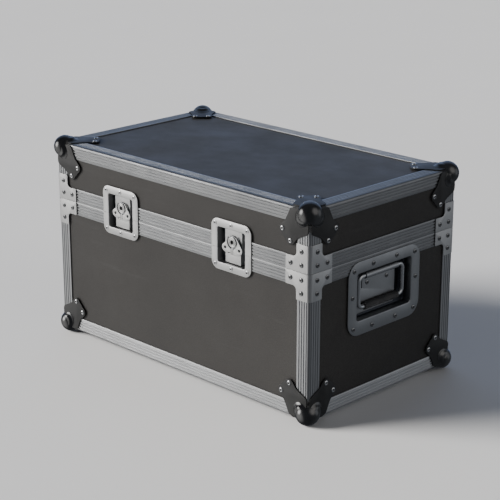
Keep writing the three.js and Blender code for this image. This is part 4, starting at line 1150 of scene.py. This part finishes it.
def make_foam():
    for half, opens_up in (("base", True), ("lid", False)):
        build = Build()
        foam_tray(build, f"{half}_foam_lining", opens_up)
        piece = build.object(f"{half}_foam_tray")
        for x in LATCH_X.values():
            cut(piece, *latch_block(x, FOAM_SPARE, LATCH_DEEP + PRESSED + FOAM_SPARE))
        if half == "base":
            x0, y0, x1, y1, _ = grown(HANDLE_WINDOW, PRESSED + FOAM_SPARE)
            deep = HALF_LENGTH - HANDLE_DEEP - PRESSED - FOAM_SPARE
            for a, b in ((-HALF_LENGTH - 2, -deep), (deep, HALF_LENGTH + 2)):
                cut(piece, (a, x0, HANDLE_Z + y0), (b, x1, HANDLE_Z + y1))
        dress(piece, half, FOAM, "foam", [f"{half}_foam_lining"], 60)


# ---- Camera, light and floor ----

# Fitted to the photo: degrees, metres and millimetres
CAMERA_AZIMUTH, CAMERA_ELEVATION, CAMERA_DISTANCE, CAMERA_LENS = 44.91, 18.10, 2.702, 110.6
AIM = Vector((0.0, 0.0, (BOTTOM + TOP) / 2 * MM))
KEY_SIDE, KEY_DISTANCE, KEY_POWER, KEY_ANGLE = (-0.66, -0.66, 0.40), 4.0, 6.5, 28
FLOOR_REACH = 14.0
STUDIO_DARK = (0.085, 0.09, 0.10)
# Soft panels round the studio: direction, how narrow, colour
GLOWS = (
    ((-0.67, 0.67, 0.31), 0.55, (0.27, 0.36, 0.58)),
    ((-0.65, -0.68, -0.31), 0.62, (0.86, 0.85, 0.83)),
    ((-0.74, -0.66, 0.19), 0.935, (5.6, 5.5, 5.4)),
    ((0.66, 0.68, -0.31), 0.60, (0.04, 0.045, 0.05)),
    ((0.63, 0.77, 0.07), 0.90, (0.36, 0.37, 0.39)),
    ((0.85, 0.15, 0.5), 0.80, (0.60, 0.58, 0.56)),
)


def aimed(name, data, side, distance):
    """An object at a distance on one side of the case, looking at its middle."""
    obj = place(name, data)
    obj.rotation_mode = "QUATERNION"
    obj.location = AIM + side * distance
    obj.rotation_quaternion = (-side).to_track_quat("-Z", "Y")
    return obj


def make_camera():
    azimuth, elevation = math.radians(CAMERA_AZIMUTH), math.radians(CAMERA_ELEVATION)
    back = Vector((math.sin(azimuth) * math.cos(elevation), -math.cos(azimuth) * math.cos(elevation),
                   math.sin(elevation)))
    data = bpy.data.cameras.new("camera")
    data.lens = CAMERA_LENS
    data.sensor_width = 36.0
    data.clip_start, data.clip_end = 0.05, 60.0
    bpy.context.scene.camera = aimed("camera", data, back, CAMERA_DISTANCE)


def make_key():
    """The key light: a broad sun. It gives no highlights, since the studio's soft panels do."""
    data = bpy.data.lights.new("key", "SUN")
    data.energy = KEY_POWER
    data.color = (1.0, 0.975, 0.94)
    data.angle = math.radians(KEY_ANGLE)
    aimed("key", data, Vector(KEY_SIDE).normalized(), KEY_DISTANCE).visible_glossy = False


def make_floor():
    mesh, r = bpy.data.meshes.new("floor"), FLOOR_REACH
    mesh.from_pydata([(-r, -r, 0), (r, -r, 0), (r, r, 0), (-r, r, 0)], [], [(0, 1, 2, 3)])
    floor = place("floor", mesh)
    n = Nodes("pale_floor", Roughness=0.9, Specular_IOR_Level=0.1)
    n.colour(n.ramp(n.noise(1.2, 3.0), (0.3, 0.80), (0.7, 0.82)))
    mesh.materials.append(n.material)
    floor.visible_glossy = False      # metal mirrors the studio's dark and bright sides instead


def make_studio():
    """A dark world with soft glowing panels, fixed in space."""
    world = bpy.data.worlds.new("studio")
    bpy.context.scene.world = world
    world.use_nodes = True
    n = Tree(world.node_tree)
    direction = n.node("TexCoord").outputs["Generated"]
    colour = STUDIO_DARK
    for toward, spread, glow in GLOWS:
        facing = n.vector_math("DOT_PRODUCT", direction, Vector(toward).normalized()).outputs["Value"]
        panel = n.ramp(facing, (spread, 0.0), (1.0, glow), ease="EASE")
        colour = n.vector_math("ADD", panel, colour).outputs["Vector"]
    n.feed(n.tree.nodes["Background"].inputs["Color"], colour)


# ---- The case ----


def finish_panels():
    for name, node in frame["nodes"].items():
        if name.endswith("_panel"):
            node.data.materials.clear()
            node.data.materials.append(LAMINATE)


make_camera()
make_floor()
make_studio()
make_key()
finish_panels()
make_extrusions()
make_ball_corners()
make_braces()
make_latches()
make_handles()
make_hinges()
make_foam()
